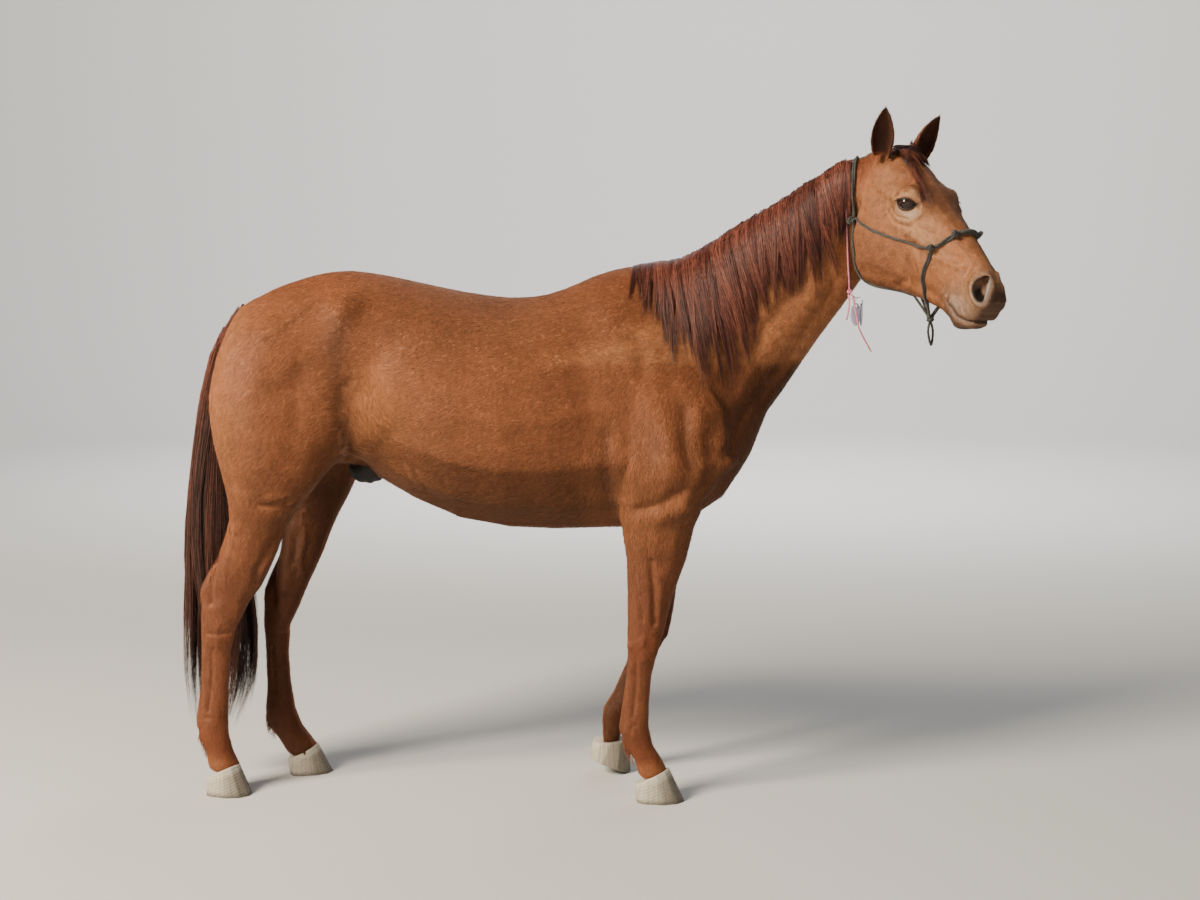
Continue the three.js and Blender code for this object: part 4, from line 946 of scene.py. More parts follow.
def decimated(thing, triangles, keep):
    """Thins a mesh to a number of triangles, and keeps more of them where keep is high."""
    group = thing.vertex_groups.new(name="keep")
    share = np.round(keep, 1)
    for value in np.unique(share):
        group.add(np.nonzero(share == value)[0].tolist(), float(value), "REPLACE")
    make_active(thing)
    count = sum(len(face.vertices) - 2 for face in thing.data.polygons)
    thin = thing.modifiers.new("thin", "DECIMATE")
    thin.ratio = min(1.0, triangles / count)
    thin.vertex_group = "keep"
    thin.vertex_group_factor = 1.0
    thin.invert_vertex_group = True
    bpy.ops.object.modifier_apply(modifier="thin")
    thing.vertex_groups.clear()


def set_colours(mesh, colours):
    """Stores one colour for each vertex."""
    layer = mesh.color_attributes.new("paint", "FLOAT_COLOR", "POINT")
    full = np.ones((len(mesh.vertices), 4), np.float32)
    full[:, :3] = colours
    layer.data.foreach_set("color", full.ravel())


SKIN_TRIANGLES = 150000
head_points = to_head(points)
keep = 0.15 + 0.85 * near_spots(head_points, FINE_SPOTS, 1.15)
keep = np.maximum(keep, 0.55 * step(head_points[:, 0], 0.0, 0.08))
keep = np.maximum(keep, 0.35 * (1 - step(points[:, 2], 0.75, 0.95)))
for side in SIDES:
    up, out = ear_place(head_points, side)
    keep = np.maximum(keep, (up > -0.01) & (out < 0.05))
decimated(skin, SKIN_TRIANGLES, keep)
points, normals = points_of(skin.data), normals_of(skin.data)
set_colours(skin.data, painted(points, normals))

# The map of the skin's own shape, which the tufts of the coat share.
make_active(skin)
skin.data.uv_layers.new(name="OFBake")
bpy.ops.object.mode_set(mode="EDIT")
bpy.ops.mesh.select_all(action="SELECT")
bpy.ops.uv.smart_project(angle_limit=math.radians(66), island_margin=0.002)
bpy.ops.object.mode_set(mode="OBJECT")

# Short hair over skin: a satin sheen from the many fine parallel hairs, with cloudy patches of
# tone where the winter coat is longer, and a fine grain.
CLOUD_SCALE = 7.0  # patches about 140 mm across
MOTTLE_SCALE = 80.0  # streaks about 13 mm wide, longer down than across
GRAIN_SCALE = 260.0  # hair ends about 4 mm apart
SHEEN_TONE = "#E8B48C"


def noise_factor(tree, places, scale, detail, roughness, low, high):
    """A noise over places, and the factor between low and high that follows it."""
    noise = node(tree, "ShaderNodeTexNoise", {"Vector": places, "Scale": scale, "Detail": detail,
                                              "Roughness": roughness})
    factor = node(tree, "ShaderNodeMapRange", {"Value": noise.outputs["Fac"], "From Min": 0.3,
                                               "From Max": 0.7, "To Min": low, "To Max": high})
    return noise.outputs["Fac"], factor.outputs["Result"]


def stretched(tree, places, scales):
    """The same places with their x, y and z scaled, which stretches a noise over them."""
    return node(tree, "ShaderNodeVectorMath", {0: places, 1: scales},
                operation="MULTIPLY").outputs["Vector"]


def show_paint(tree, shader, factor=None):
    """The base colour is the colour stored in the mesh, times the factor."""
    colour = node(tree, "ShaderNodeVertexColor", layer_name="paint").outputs["Color"]
    if factor is not None:
        scaled = node(tree, "ShaderNodeVectorMath", {0: colour}, operation="SCALE")
        tree.links.new(factor, scaled.inputs["Scale"])
        colour = scaled.outputs["Vector"]
    tree.links.new(colour, shader.inputs["Base Color"])


def show_bump(tree, shader, height, strength, distance):
    """A fine relief that follows a noise."""
    bump = node(tree, "ShaderNodeBump", {"Height": height, "Strength": strength,
                                         "Distance": distance})
    tree.links.new(bump.outputs["Normal"], shader.inputs["Normal"])


skin_material, tree, shader = material("chestnut_coat", Roughness=0.58, Sheen_Weight=0.2,
                                       Sheen_Roughness=0.45, Specular_IOR_Level=0.24)
shader.inputs["Sheen Tint"].default_value = (*linear(SHEEN_TONE), 1)
places = node(tree, "ShaderNodeTexCoord").outputs["Object"]
_, cloud = noise_factor(tree, places, CLOUD_SCALE, 4.0, 0.6, 0.84, 1.14)
hair_ends, grain = noise_factor(tree, places, GRAIN_SCALE, 2.0, 0.5, 0.86, 1.12)
upright = stretched(tree, places, (1.0, 1.0, 0.4))
_, mottle = noise_factor(tree, upright, MOTTLE_SCALE, 4.0, 0.65, 0.85, 1.14)
broad = node(tree, "ShaderNodeMath", {0: cloud, 1: mottle}, operation="MULTIPLY")
tone = node(tree, "ShaderNodeMath", {0: broad.outputs["Value"], 1: grain}, operation="MULTIPLY")
show_paint(tree, shader, tone.outputs["Value"])
show_bump(tree, shader, hair_ends, 0.25, 0.0015)
skin.data.materials.clear()
skin.data.materials.append(skin_material)

# Bare skin in the nostrils, along the mouth and on the rims of the lids has no hair to shine.
bare_skin, tree, shader = material("bare_dark_skin", Roughness=0.5, Specular_IOR_Level=0.3)
show_paint(tree, shader)
skin.data.materials.append(bare_skin)
faces = skin.data.polygons
middles = to_head(read_rows(faces, "center", 3, float))
s, t = nostril_place(middles)
in_nostril = (s / NOSTRIL_REACH[0]) ** 2 + (t / NOSTRIL_REACH[1]) ** 2 < 1.0
in_nostril &= (np.abs(middles[:, 1]) < 0.075) & (middles[:, 0] > 0.44)
at_mouth = (line_profile(middles[:, (0, 2)], MOUTH, 0.006) > 0.35) & (middles[:, 0] > 0.43)
bare_place = in_nostril | at_mouth
for side in SIDES:
    far = np.linalg.norm(middles - eye_places[side], axis=1)
    bare_place |= far < EYE_RADIUS + 0.0008
faces.foreach_set("material_index", bare_place.astype(np.int32))


def smooth(piece):
    make_active(piece)
    bpy.ops.object.shade_smooth()


smooth(skin)
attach(skin, "root")
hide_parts(*FLESH, "ear_right", "ear_left")


def finished(piece, slot, surface, *nodes):
    """Gives a piece its material and body, and hides the nodes that it stands for; the slot is not
    used.
    """
    piece.data.materials.append(surface)
    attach(piece, "root")
    if nodes:
        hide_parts(*nodes)


# The sheath: a soft dark fold of bare skin under the belly, between the thighs.
SHEATH_PLACE = (-0.575, 0.932)
SHEATH_REACH = (0.062, 0.04, 0.046)
SHEATH_TONE, SHEATH_TILT = "#100B09", math.radians(12)
bpy.ops.mesh.primitive_uv_sphere_add(segments=48, ring_count=32, radius=1)
sheath = bpy.context.object
sheath.name = "sheath"
shape = points_of(sheath.data)
wrinkle = 1 + 0.03 * np.sin(shape[:, 0] * 14 + 3 * shape[:, 2]) * (1 - shape[:, 0] ** 2)
shape = shape * SHEATH_REACH * wrinkle[:, None] @ np.array(Matrix.Rotation(SHEATH_TILT, 3, "Y"))
set_points(sheath.data, shape + (SHEATH_PLACE[0], MIDDLE_Y, SHEATH_PLACE[1]))
set_colours(sheath.data, np.tile(linear(SHEATH_TONE), (len(shape), 1)))
smooth(sheath)
finished(sheath, "coat", bare_skin)

# ------------ coat
# Short winter hair in fine tufts that lie along the body. They start at the skin, overlap like
# shingles and are shortest on the face and the feet. Each tuft is one flat tapered blade.

COAT_SEED = 7
COAT_PIECES = ("coat_trunk_right", "coat_trunk_left", "coat_neck", "coat_fore_legs",
               "coat_hind_legs", "coat_head")
COVER = 1.9  # layers of tufts over the skin
MOST_TUFTS = 176000


def unit(vectors):
    return vectors / np.maximum(np.linalg.norm(vectors, axis=-1, keepdims=True), 1e-9)


def hair_flow(points, normals):
    """The way the hair lies at places on the body."""
    x, y, z = points.T
    head_points = to_head(points)
    hx, _, hz = head_points.T

    def turned(way, share, aim):
        return mixed(way, np.array(aim), share[:, None])

    way = np.stack([-np.ones(len(points)), 0 * x, -0.45 - 0.1 * np.sin(9 * x)], 1)
    neck = step(x, 0.25, 0.5) * step(z, 1.0, 1.2)
    way = turned(way, neck, (-0.55, 0, -0.85))
    arm = step(x, -0.02, 0.14) * (1 - step(z, 1.02, 1.3))
    way = turned(way, arm, (-0.28, 0, -1.0))
    way = turned(way, step(-x, 0.62, 0.8), (-0.75, 0, -0.7))
    flank_whorl = np.exp(-((x + 0.53) / 0.09) ** 2 - ((z - 1.12) / 0.15) ** 2)
    way = turned(way, flank_whorl, (-0.25, 0, 1.0))
    way = turned(way, 1 - step(z, 0.62, 0.88), (-0.22, 0, -1.0))
    face = np.tile((0.75, 0.0, 0.12), (len(points), 1))
    cheek = step(-hz, 0.05, 0.15) * (1 - step(hx, 0.24, 0.36))
    face = turned(face, cheek, (-0.35, 0, -0.9))
    face = turned(face, 1 - step(hx, 0.06, 0.15), (-0.4, 0, -0.6))
    way = turned(way, step(hx, -0.02, 0.06) * step(z, 1.22, 1.26), face @ head_axes.T)
    for side in SIDES:
        up, out = ear_place(head_points, side)
        own = step(up, 0.008, 0.03) * (out < 0.046)
        way = turned(way, own, head_axes @ ear_axes(side)[1])
    way = unit(way)
    way = way - normals * (way * normals).sum(1)[:, None]
    return unit(way)


def tuft_sizes(points):
    """Length and width of a tuft at each place, in metres."""
    x, y, z = points.T
    hx = to_head(points)[:, 0]
    on_head = np.maximum(step(hx, -0.02, 0.06) * step(z, 1.22, 1.26), step(z, 1.79, 1.82))
    low = 1 - step(z, 0.5, 0.85)
    length = 0.015 - 0.005 * low + 0.003 * (1 - step(z, 0.8, 0.95)) * step(z, 0.7, 0.78)
    length -= 0.0025 * step(z, 1.33, 1.46) * (x < 0.2)
    length = mixed(length, 0.009 - 0.005 * step(hx, 0.36, 0.52), on_head)
    width = mixed(0.0018 - 0.0005 * low, 0.0011 - 0.0003 * step(hx, 0.36, 0.52), on_head)
    return length, width


def region_of(points):
    """Which coat piece each place belongs to."""
    x, y, z = points.T
    hx = to_head(points)[:, 0]
    head = ((hx > 0.0) & (z > 1.24)) | (z > 1.8)
    legs = (z < 0.84) & ~head & ((x > 0.05) | (x < -0.58))
    neck = (x > 0.2) & ~head & ~legs
    right = (y < MIDDLE_Y) & ~head & ~legs & ~neck
    names = np.full(len(points), "coat_trunk_left", "U20")
    names[right] = "coat_trunk_right"
    names[neck] = "coat_neck"
    names[legs & (x > -0.2)] = "coat_fore_legs"
    names[legs & (x <= -0.2)] = "coat_hind_legs"
    names[head] = "coat_head"
    return names


def soup(name, verts, faces_quad, faces_tri, colours, uvs=None):
    """A mesh from arrays: quads, then triangles, a colour per vertex and a map, if it has one."""
    mesh = bpy.data.meshes.new(name)
    mesh.vertices.add(len(verts))
    mesh.vertices.foreach_set("co", verts.astype(np.float32).ravel())
    corners = np.concatenate([faces_quad.ravel(), faces_tri.ravel()]).astype(np.int32)
    mesh.loops.add(len(corners))
    mesh.loops.foreach_set("vertex_index", corners)
    totals = np.concatenate([np.full(len(faces_quad), 4), np.full(len(faces_tri), 3)])
    starts = np.concatenate([[0], np.cumsum(totals)[:-1]])
    mesh.polygons.add(len(totals))
    mesh.polygons.foreach_set("loop_start", starts.astype(np.int32))
    mesh.polygons.foreach_set("use_smooth", np.ones(len(totals), bool))
    mesh.update(calc_edges=True)
    if uvs is not None:
        layer = mesh.uv_layers.new(name="OFBake")
        layer.data.foreach_set("uv", uvs[corners].astype(np.float32).ravel())
    set_colours(mesh, colours)
    return new_object(name, mesh)


BAKE_PATCH = 0.003  # the side of a hair's own patch on the map


def tuft_mesh(name, roots, ways, normals, length, width, lift, colours, spots, luck):
    """Tufts as one mesh: a root edge and a tip each, in a small patch of the map."""
    count = len(roots)
    across = unit(np.cross(ways, normals))
    turn = luck.normal(0, 0.16, count)[:, None]
    ways = unit(ways + across * turn)
    roll = luck.normal(0, 0.22, count)[:, None]
    half = (unit(np.cross(ways, normals)) + normals * roll) * (width / 2)[:, None]
    tip = roots + ways * length[:, None] + normals * lift[:, None]
    start = roots - normals * 0.0006
    verts = np.stack([start - half, start + half, tip], 1)
    tris = np.arange(count * 3).reshape(count, 3)
    shade = luck.normal(1.0, 0.11, count)[:, None]
    root_tone, tip_tone = colours * shade * 0.8, colours * shade * 1.24
    tones = np.stack([root_tone, root_tone, tip_tone], 1)
    box = np.array([(-0.5, -0.5), (0.5, -0.5), (0, 0.5)]) * BAKE_PATCH
    patch = spots[:, None, :] + box[None]
    return soup(name, verts.reshape(-1, 3), np.zeros((0, 4), int), tris,
                np.clip(tones, 0, 1).reshape(-1, 3), patch.reshape(-1, 2))


luck = np.random.default_rng(COAT_SEED)
mesh = skin.data
mesh.calc_loop_triangles()
corner_verts = read_rows(mesh.loop_triangles, "vertices", 3, np.int32)
corner_loops = read_rows(mesh.loop_triangles, "loops", 3, np.int32)
skin_map = read_rows(mesh.uv_layers["OFBake"].data, "uv", 2)
corners = points[corner_verts]
first_side, second_side = corners[:, 1] - corners[:, 0], corners[:, 2] - corners[:, 0]
area = np.linalg.norm(np.cross(first_side, second_side), axis=1) / 2
centres = corners.mean(1)
regions = region_of(centres)
length, width = tuft_sizes(centres)
dense = area / (length * width / 2)
head_middles = to_head(centres)
bald = near_spots(head_middles, [((0.508, 0.044, -0.068), 0.034)])
side_view = head_middles[:, (0, 2)]
on_face = step(head_middles[:, 0], 0.0, 0.05) * step(centres[:, 2], 1.22, 1.26)
bald = np.maximum(bald, line_profile(side_view, MOUTH, 0.006) * on_face)
for side in SIDES:
    far = np.linalg.norm(head_middles - eye_places[side], axis=1)
    bald = np.maximum(bald, 1 - step(far, 0.0305, 0.0325))
dense *= 1 - np.clip(bald, 0, 1)
for name in COAT_PIECES:
    own = np.nonzero(regions == name)[0]
    number = min(int(dense[own].sum() * COVER), MOST_TUFTS)
    chosen = luck.choice(own, number, p=dense[own] / dense[own].sum())
    a, b = np.sqrt(luck.random(number)), luck.random(number)
    share = np.stack([1 - a, a * (1 - b), a * b], 1)[:, :, None]
    roots = (points[corner_verts[chosen]] * share).sum(1)
    out = unit((normals[corner_verts[chosen]] * share).sum(1))
    spots = (skin_map[corner_loops[chosen]] * share).sum(1)
    length, width = tuft_sizes(roots)
    length = length * luck.uniform(0.7, 1.25, number)
    lift = length * 0.16 + 0.0004
    coat = tuft_mesh(name, roots, hair_flow(roots, out), out, length, width, lift,
                     painted(roots, out), spots, luck)
    finished(coat, "coat", skin_material)


# ------------ mane
# Long coarse hair that grows from the crest and falls on the right side of the neck, in flat locks
# that part and end at different heights. Each hair is a folded ribbon that tapers to a point.

MANE_SEED = 21
CREST = [(0.19, 0.064, 1.497), (0.272, 0.064, 1.5), (0.374, 0.064, 1.529), (0.481, 0.054, 1.594),
         (0.588, 0.04, 1.662), (0.692, 0.02, 1.74), (0.776, 0.002, 1.792)]
# Place along the crest (x) and the length of the hair there.
MANE_LENGTH = [(0.19, 0.19), (0.24, 0.24), (0.27, 0.31), (0.3, 0.38), (0.33, 0.43), (0.38, 0.46),
               (0.43, 0.47), (0.47, 0.42), (0.5, 0.32), (0.54, 0.29), (0.58, 0.32), (0.63, 0.32),
               (0.67, 0.31), (0.7, 0.28), (0.74, 0.22), (0.785, 0.19)]
# How far forward the hair leans as it falls, at the same places.
MANE_LEAN = [(0.2, -0.1), (0.25, 0.02), (0.3, 0.14), (0.38, 0.22), (0.43, 0.24), (0.5, 0.12),
             (0.58, 0.08), (0.65, 0.08), (0.7, 0.06), (0.78, -0.16)]
CREST_RISE = 0.03
FIRST_STRIDE = 0.02  # from the root, on the far edge of the crest, over to its near edge
MANE_LOCKS = 180
MANE_HAIRS = 5900
MANE_STATIONS = 9
FINE_STRIDES = 3  # steps over the skin between two stations of a hair
HAIR_WIDTH = 0.0022
MANE_TONES = ("#1E0B08", "#4E2419", "#804A38")
# A lock: its spread at the root and at the tip, its depth, its wave and the share of its shortest
# hair.
MANE_LOCK = (0.0056, 0.0013, 0.004, 0.0035, 0.74)


def guide_on_skin(start, pull, length, lift, stations, first=None):
    """A path that falls over the skin at a height above it: its points and its normals."""
    strides = np.full(stations, length / (stations - 1))
    if first is not None:
        strides[0], strides[1:] = first, (length - first) / (stations - 2)
    path, outs = [], []
    point = Vector(start)
    near, out, _, _ = skin_shape.find_nearest(point)
    for number in range(stations):
        path.append(np.array(near + out * lift[number]))
        outs.append(np.array(out))
        for _ in range(FINE_STRIDES):
            way = Vector(pull(number / (stations - 1), near))
            way = (way - out * way.dot(out)).normalized()
            near, out, _, _ = skin_shape.find_nearest(near + way * (strides[number] / FINE_STRIDES))
    return np.array(path), np.array(outs)


def along_path(paths, shares):
    """Points at shares (0 to 1) of several paths of equal count, for each path its own shares."""
    last = paths.shape[1] - 1
    place = np.clip(shares * last, 0, last - 1e-6)
    low = np.floor(place).astype(int)
    part = (place - low)[:, :, None]
    rows = np.arange(len(paths))[:, None]
    return paths[rows, low] * (1 - part) + paths[rows, low + 1] * part


skin_shape = BVHTree.FromPolygons([Vector(p) for p in points], corner_verts.tolist())


def places_on_map(roots):
    """The place of each root on the map of the skin's own shape."""
    places = np.empty((len(roots), 2))
    for number, root in enumerate(roots):
        near, _, face, _ = skin_shape.find_nearest(Vector(root))
        flat = [Vector((*spot, 0)) for spot in skin_map[corner_loops[face]]]
        places[number] = barycentric_transform(near, *map(Vector, corners[face]), *flat)[:2]
    return places


def hair_mesh(name, paths, outs, width, tones):
    """Hairs as one mesh: a ribbon folded along its middle, which narrows to its tip."""
    count, stations = paths.shape[:2]
    ways = unit(np.gradient(paths, axis=1))
    across = unit(np.cross(ways, outs))
    share = np.linspace(0, 1, stations)
    taper = np.clip(1.05 - share ** 3, 0.04, 1)[None, :, None] * width[:, None, None] / 2
    fold = outs * taper * 0.55
    rails = np.stack([paths - across * taper - fold, paths + fold, paths + across * taper - fold], 2)
    first = (np.arange(count) * stations * 3)[:, None, None]
    row = (np.arange(stations - 1) * 3)[None, :, None]
    base = (first + row).reshape(-1, 1)
    quads = np.concatenate([base + [[0, 1, 4, 3]], base + [[1, 2, 5, 4]]])
    tones = np.repeat(tones[:, :, None, :], 3, 2)
    spots = places_on_map(paths[:, 0])
    box_u = np.array((-0.5, 0, 0.5)) * BAKE_PATCH
    box_v = (share - 0.5) * BAKE_PATCH
    patch = np.zeros((count, stations, 3, 2))
    patch[..., 0] = spots[:, None, None, 0] + box_u[None, None, :]
    patch[..., 1] = spots[:, None, None, 1] + box_v[None, :, None]
    return soup(name, rails.reshape(-1, 3), quads, np.zeros((0, 3), int),
                np.clip(tones, 0, 1).reshape(-1, 3), patch.reshape(-1, 2))


def locks_to_hairs(paths, outs, hairs, luck, spread, tip_spread, depth, wave, shortest):
    """Hairs gathered in locks: they start side by side and draw together towards their ends."""
    stations = paths.shape[1]
    lock = luck.integers(0, len(paths), hairs)
    share = np.linspace(0, 1, stations)[None] * luck.uniform(shortest, 1.0, hairs)[:, None]
    line, out = along_path(paths[lock], share), unit(along_path(outs[lock], share))
    across = unit(np.cross(unit(np.gradient(line, axis=1)), out))
    aside = luck.normal(0, 1, hairs)[:, None] * (spread * (1 - share) + tip_spread * share)
    phase = luck.uniform(0, 2 * math.pi, hairs)[:, None] * 0.35 + (lock * 2.4)[:, None]
    aside = aside + wave * share * np.sin(share * luck.uniform(5, 9, hairs)[:, None] + phase)
    high = luck.random(hairs)[:, None] * depth
    return lock, share, line + across * aside[:, :, None] + out * high[:, :, None], out


def mixed_tones(tones, lock, share, luck, at_root, at_tip):
    """A colour for each hair: its lock's own shade, some luck, and a factor from root to tip."""
    dark, middle, light = (np.array(linear(tone)) for tone in tones)
    lock_shade = np.random.default_rng(3).random(lock.max() + 1)
    pick = np.clip(0.55 * lock_shade[lock] + 0.6 * luck.random(len(lock)) - 0.08, 0, 1)[:, None]
    darker, lighter = dark + (middle - dark) * pick * 2, middle + (light - middle) * (pick * 2 - 1)
    colour = np.where(pick < 0.5, darker, lighter)
    along = at_root + (at_tip - at_root) * share[:, :, None]
    return colour[:, None, :] * along


luck = np.random.default_rng(MANE_SEED)
crest = np.array(CREST)
lengths = np.array(MANE_LENGTH)


def mane_pull(x, sway):
    """The way a lock falls: down, and more or less forward by its place."""
    lean = float(np.interp(x, *np.array(MANE_LEAN).T))

    def pull(share, near):
        return (lean * (0.5 + share) + sway * math.sin(3.0 * share), -0.45, -1.0)
    return pull


guides = []
for number in range(MANE_LOCKS):
    share = ((number + luck.random()) / MANE_LOCKS) ** 0.88
    x = crest[0, 0] + (crest[-1, 0] - crest[0, 0]) * share
    start = [np.interp(x, crest[:, 0], crest[:, k]) for k in range(3)]
    start[1] += luck.uniform(0.0, 0.016)
    start[2] += CREST_RISE
    length = np.interp(x, lengths[:, 0], lengths[:, 1]) * luck.uniform(0.68, 1.08)
    height = luck.uniform(0.008, 0.014) * np.interp(x, [0.19, 0.26], [0.4, 1.0])
    lift = 0.001 + height * np.interp(np.arange(MANE_STATIONS), [0, 1, 3, MANE_STATIONS - 1],
                                      [0.3, 1.0, 0.8, 0.35])
    guides.append(guide_on_skin(start, mane_pull(x, luck.normal(0, 0.12)), length, lift,
                                MANE_STATIONS, FIRST_STRIDE))
paths, outs = map(np.array, zip(*guides))
hairs = int(MANE_HAIRS * (1))
lock, share, line, out = locks_to_hairs(paths, outs, hairs, luck, *MANE_LOCK)
width = HAIR_WIDTH * luck.uniform(0.6, 1.15, hairs)
tones = mixed_tones(MANE_TONES, lock, share, luck, 1.3, 0.8)
mane = hair_mesh("mane_locks", line, out, width, tones)

# Long hair: smooth and a little oily, with a silky shine along each hair and none across.
mane_hair, tree, shader = material("mane_hair", Roughness=0.46, Specular_IOR_Level=0.26,
                                   Sheen_Weight=0.05, Sheen_Roughness=0.4)
places = node(tree, "ShaderNodeTexCoord").outputs["Object"]
_, streaks = noise_factor(tree, places, 90.0, 3.0, 0.5, 0.75, 1.2)
show_paint(tree, shader, streaks)
finished(mane, "mane_hair", mane_hair, "mane")

# ------------ forelock
# The end of the mane between the ears: a thick short root that lies to the left, and a few thin
# long strands down the forehead.

FORELOCK_HAIRS = 2600
FORELOCK_LOCKS = 64
FORELOCK_STATIONS = 8
FORELOCK_TONES = ("#1E0E0A", "#4C2417", "#7A4630")
FORELOCK_LOCK = (0.0042, 0.0013, 0.004, 0.0025, 0.7)
WISP_EVERY = 8  # every eighth lock is a long thin one
luck = np.random.default_rng(MANE_SEED + 1)
guides = []
for number in range(FORELOCK_LOCKS):
    aside = luck.uniform(-1, 1)
    start = from_head([luck.uniform(-0.012, 0.036), 0.026 * aside, 0.012])
    wisp = number % WISP_EVERY == 0
    spread = luck.normal(-0.3, 0.05) if wisp else 0.3 * aside + luck.normal(0.3, 0.22)
    bend = luck.normal(0, 0.1 if wisp else 0.5)
    length = luck.uniform(0.18, 0.22) if wisp else luck.uniform(0.045, 0.095)
    if wisp:
        start = from_head([luck.uniform(0.03, 0.05), luck.uniform(-0.02, -0.01), 0.012])

    def forelock_pull(share, near):
        way = np.array((1.0, spread + bend * share, 0.0))
        return head_axes @ way

    bulk = luck.uniform(0.002, 0.004) if wisp else luck.uniform(0.006, 0.018)
    lift = 0.002 + bulk * np.sin(np.linspace(0.5, math.pi, FORELOCK_STATIONS)) ** 1.2
    guides.append(guide_on_skin(start, forelock_pull, length, lift, FORELOCK_STATIONS))
paths, outs = map(np.array, zip(*guides))
hairs = int(FORELOCK_HAIRS * (1))
lock, share, line, out = locks_to_hairs(paths, outs, hairs, luck, *FORELOCK_LOCK)
width = HAIR_WIDTH * 0.75 * luck.uniform(0.6, 1.15, hairs)
tones = mixed_tones(FORELOCK_TONES, lock, share, luck, 0.95, 0.75)
forelock = hair_mesh("forelock_locks", line, out, width, tones)
finished(forelock, "mane_hair", mane_hair, "forelock")

# ------------ tail
# The tail hangs close behind the near hind leg. Its hair starts along the dock, is reddish there
# and nearly black below, and ends in thin wisps of different lengths. An outer and an inner part
# share the bundle.

# Height, back edge, front edge, middle and half width of the bundle.
TAIL_FORM = [(1.392, -0.932, -0.9, 0.064, 0.02), (1.33, -0.988, -0.94, 0.066, 0.034),
             (1.25, -1.03, -0.964, 0.068, 0.042), (1.13, -1.062, -0.977, 0.07, 0.046),
             (0.98, -1.088, -0.976, 0.072, 0.048), (0.8, -1.114, -0.965, 0.074, 0.048),
             (0.64, -1.13, -0.93, 0.078, 0.05), (0.48, -1.138, -0.908, 0.082, 0.048),
             (0.34, -1.14, -0.905, 0.08, 0.042), (0.22, -1.128, -0.915, 0.078, 0.03),
             (0.138, -1.11, -0.99, 0.074, 0.014)]
TAIL_HAIRS = 3400
TAIL_STATIONS = 10
TAIL_LOCKS = 120
TAIL_LOCK = (0.007, 0.003, 0.007, 0.006, 0.84)
TAIL_TONES = ("#1C1210", "#35211B", "#6A3E30")
DOCK_TONE = "#6B3422"
rows = np.array(TAIL_FORM)[::-1]
for number, name in enumerate(("tail_hair_outer", "tail_hair_inner")):
    luck = np.random.default_rng(MANE_SEED + 2 + number)
    angle = luck.uniform(0, 2 * math.pi, TAIL_LOCKS)
    reach = (0.95 if number == 0 else 0.62) * luck.uniform(0.25, 1, TAIL_LOCKS) ** 0.4
    end = luck.beta(1.1, 2.8, TAIL_LOCKS) * 0.42 + 0.13
    top = rows[-1, 0] - luck.uniform(0, 0.3, TAIL_LOCKS) * (1 - 0.6 * (number == 0))
    height = top[:, None] + (end - top)[:, None] * np.linspace(0, 1, TAIL_STATIONS)[None] ** 1.05
    back, front, middle, half = (np.interp(height, rows[:, 0], rows[:, k]) for k in (1, 2, 3, 4))
    sway = 0.5 * np.sin(height * 5 + angle[:, None] * 3)
    twist = angle[:, None] + sway * luck.uniform(0.3, 1, TAIL_LOCKS)[:, None]
    x = (back + front) / 2 + (front - back) / 2 * np.cos(twist) * reach[:, None]
    y = middle + half * np.sin(twist) * reach[:, None]
    paths = np.stack([x, y, height], 2)
    outs = unit(np.stack([np.cos(twist), np.sin(twist), 0 * height], 2))
    hairs = int(TAIL_HAIRS * (1))
    lock, share, line, out = locks_to_hairs(paths, outs, hairs, luck, *TAIL_LOCK)
    tones = mixed_tones(TAIL_TONES, lock, share, luck, 1.0, 0.95)
    red = np.array(linear(DOCK_TONE)) * (1 - step(rows[-1, 0] - line[:, :, 2:3], 0.05, 0.4))
    tones = tones + red * 0.55
    tail = hair_mesh(name, line, out, HAIR_WIDTH * luck.uniform(0.6, 1.2, hairs), tones)
    finished(tail, "tail_hair", mane_hair, *(("tail",) if number == 0 else ()))


# ------------ eyes
# Large dark glossy eyeballs with a brown iris, a long level pupil and a moist rim, behind lids
# with a black margin.

IRIS_REACH = 0.0185
CORNEA_RISE = 0.0012
PUPIL_HALF = (0.0105, 0.005)
EYE_TONES = {"white": "#2B201B", "iris": "#2C1A10", "pupil": "#0B0A10", "lid": "#221915",
             "lash": "#1B1412"}
LID_THICK = 0.0017
RIM_TURNS, RIM_SIDES = 72, 10
LASH_SEED, LASHES, LASH_STATIONS = 51, 110, 5
LASH_LENGTH, LASH_WIDTH = 0.013, 0.0006
eye_gloss, tree, shader = material("moist_eyeball", Roughness=0.1, IOR=1.36, Coat_Weight=0.35,
                                   Coat_Roughness=0.04)
show_paint(tree, shader)
lid_skin, _, _ = material("black_lid_skin", Base_Color=(*linear(EYE_TONES["lid"]), 1),
                          Roughness=0.38)


def ring_quads(rows, around):
    """The faces of a grid of points that closes on itself both ways."""
    index = np.arange(rows * around).reshape(rows, around)
    after = np.roll(index, -1, 0)
    return np.stack([index, np.roll(index, -1, 1), np.roll(after, -1, 1), after], 2).reshape(-1, 4)


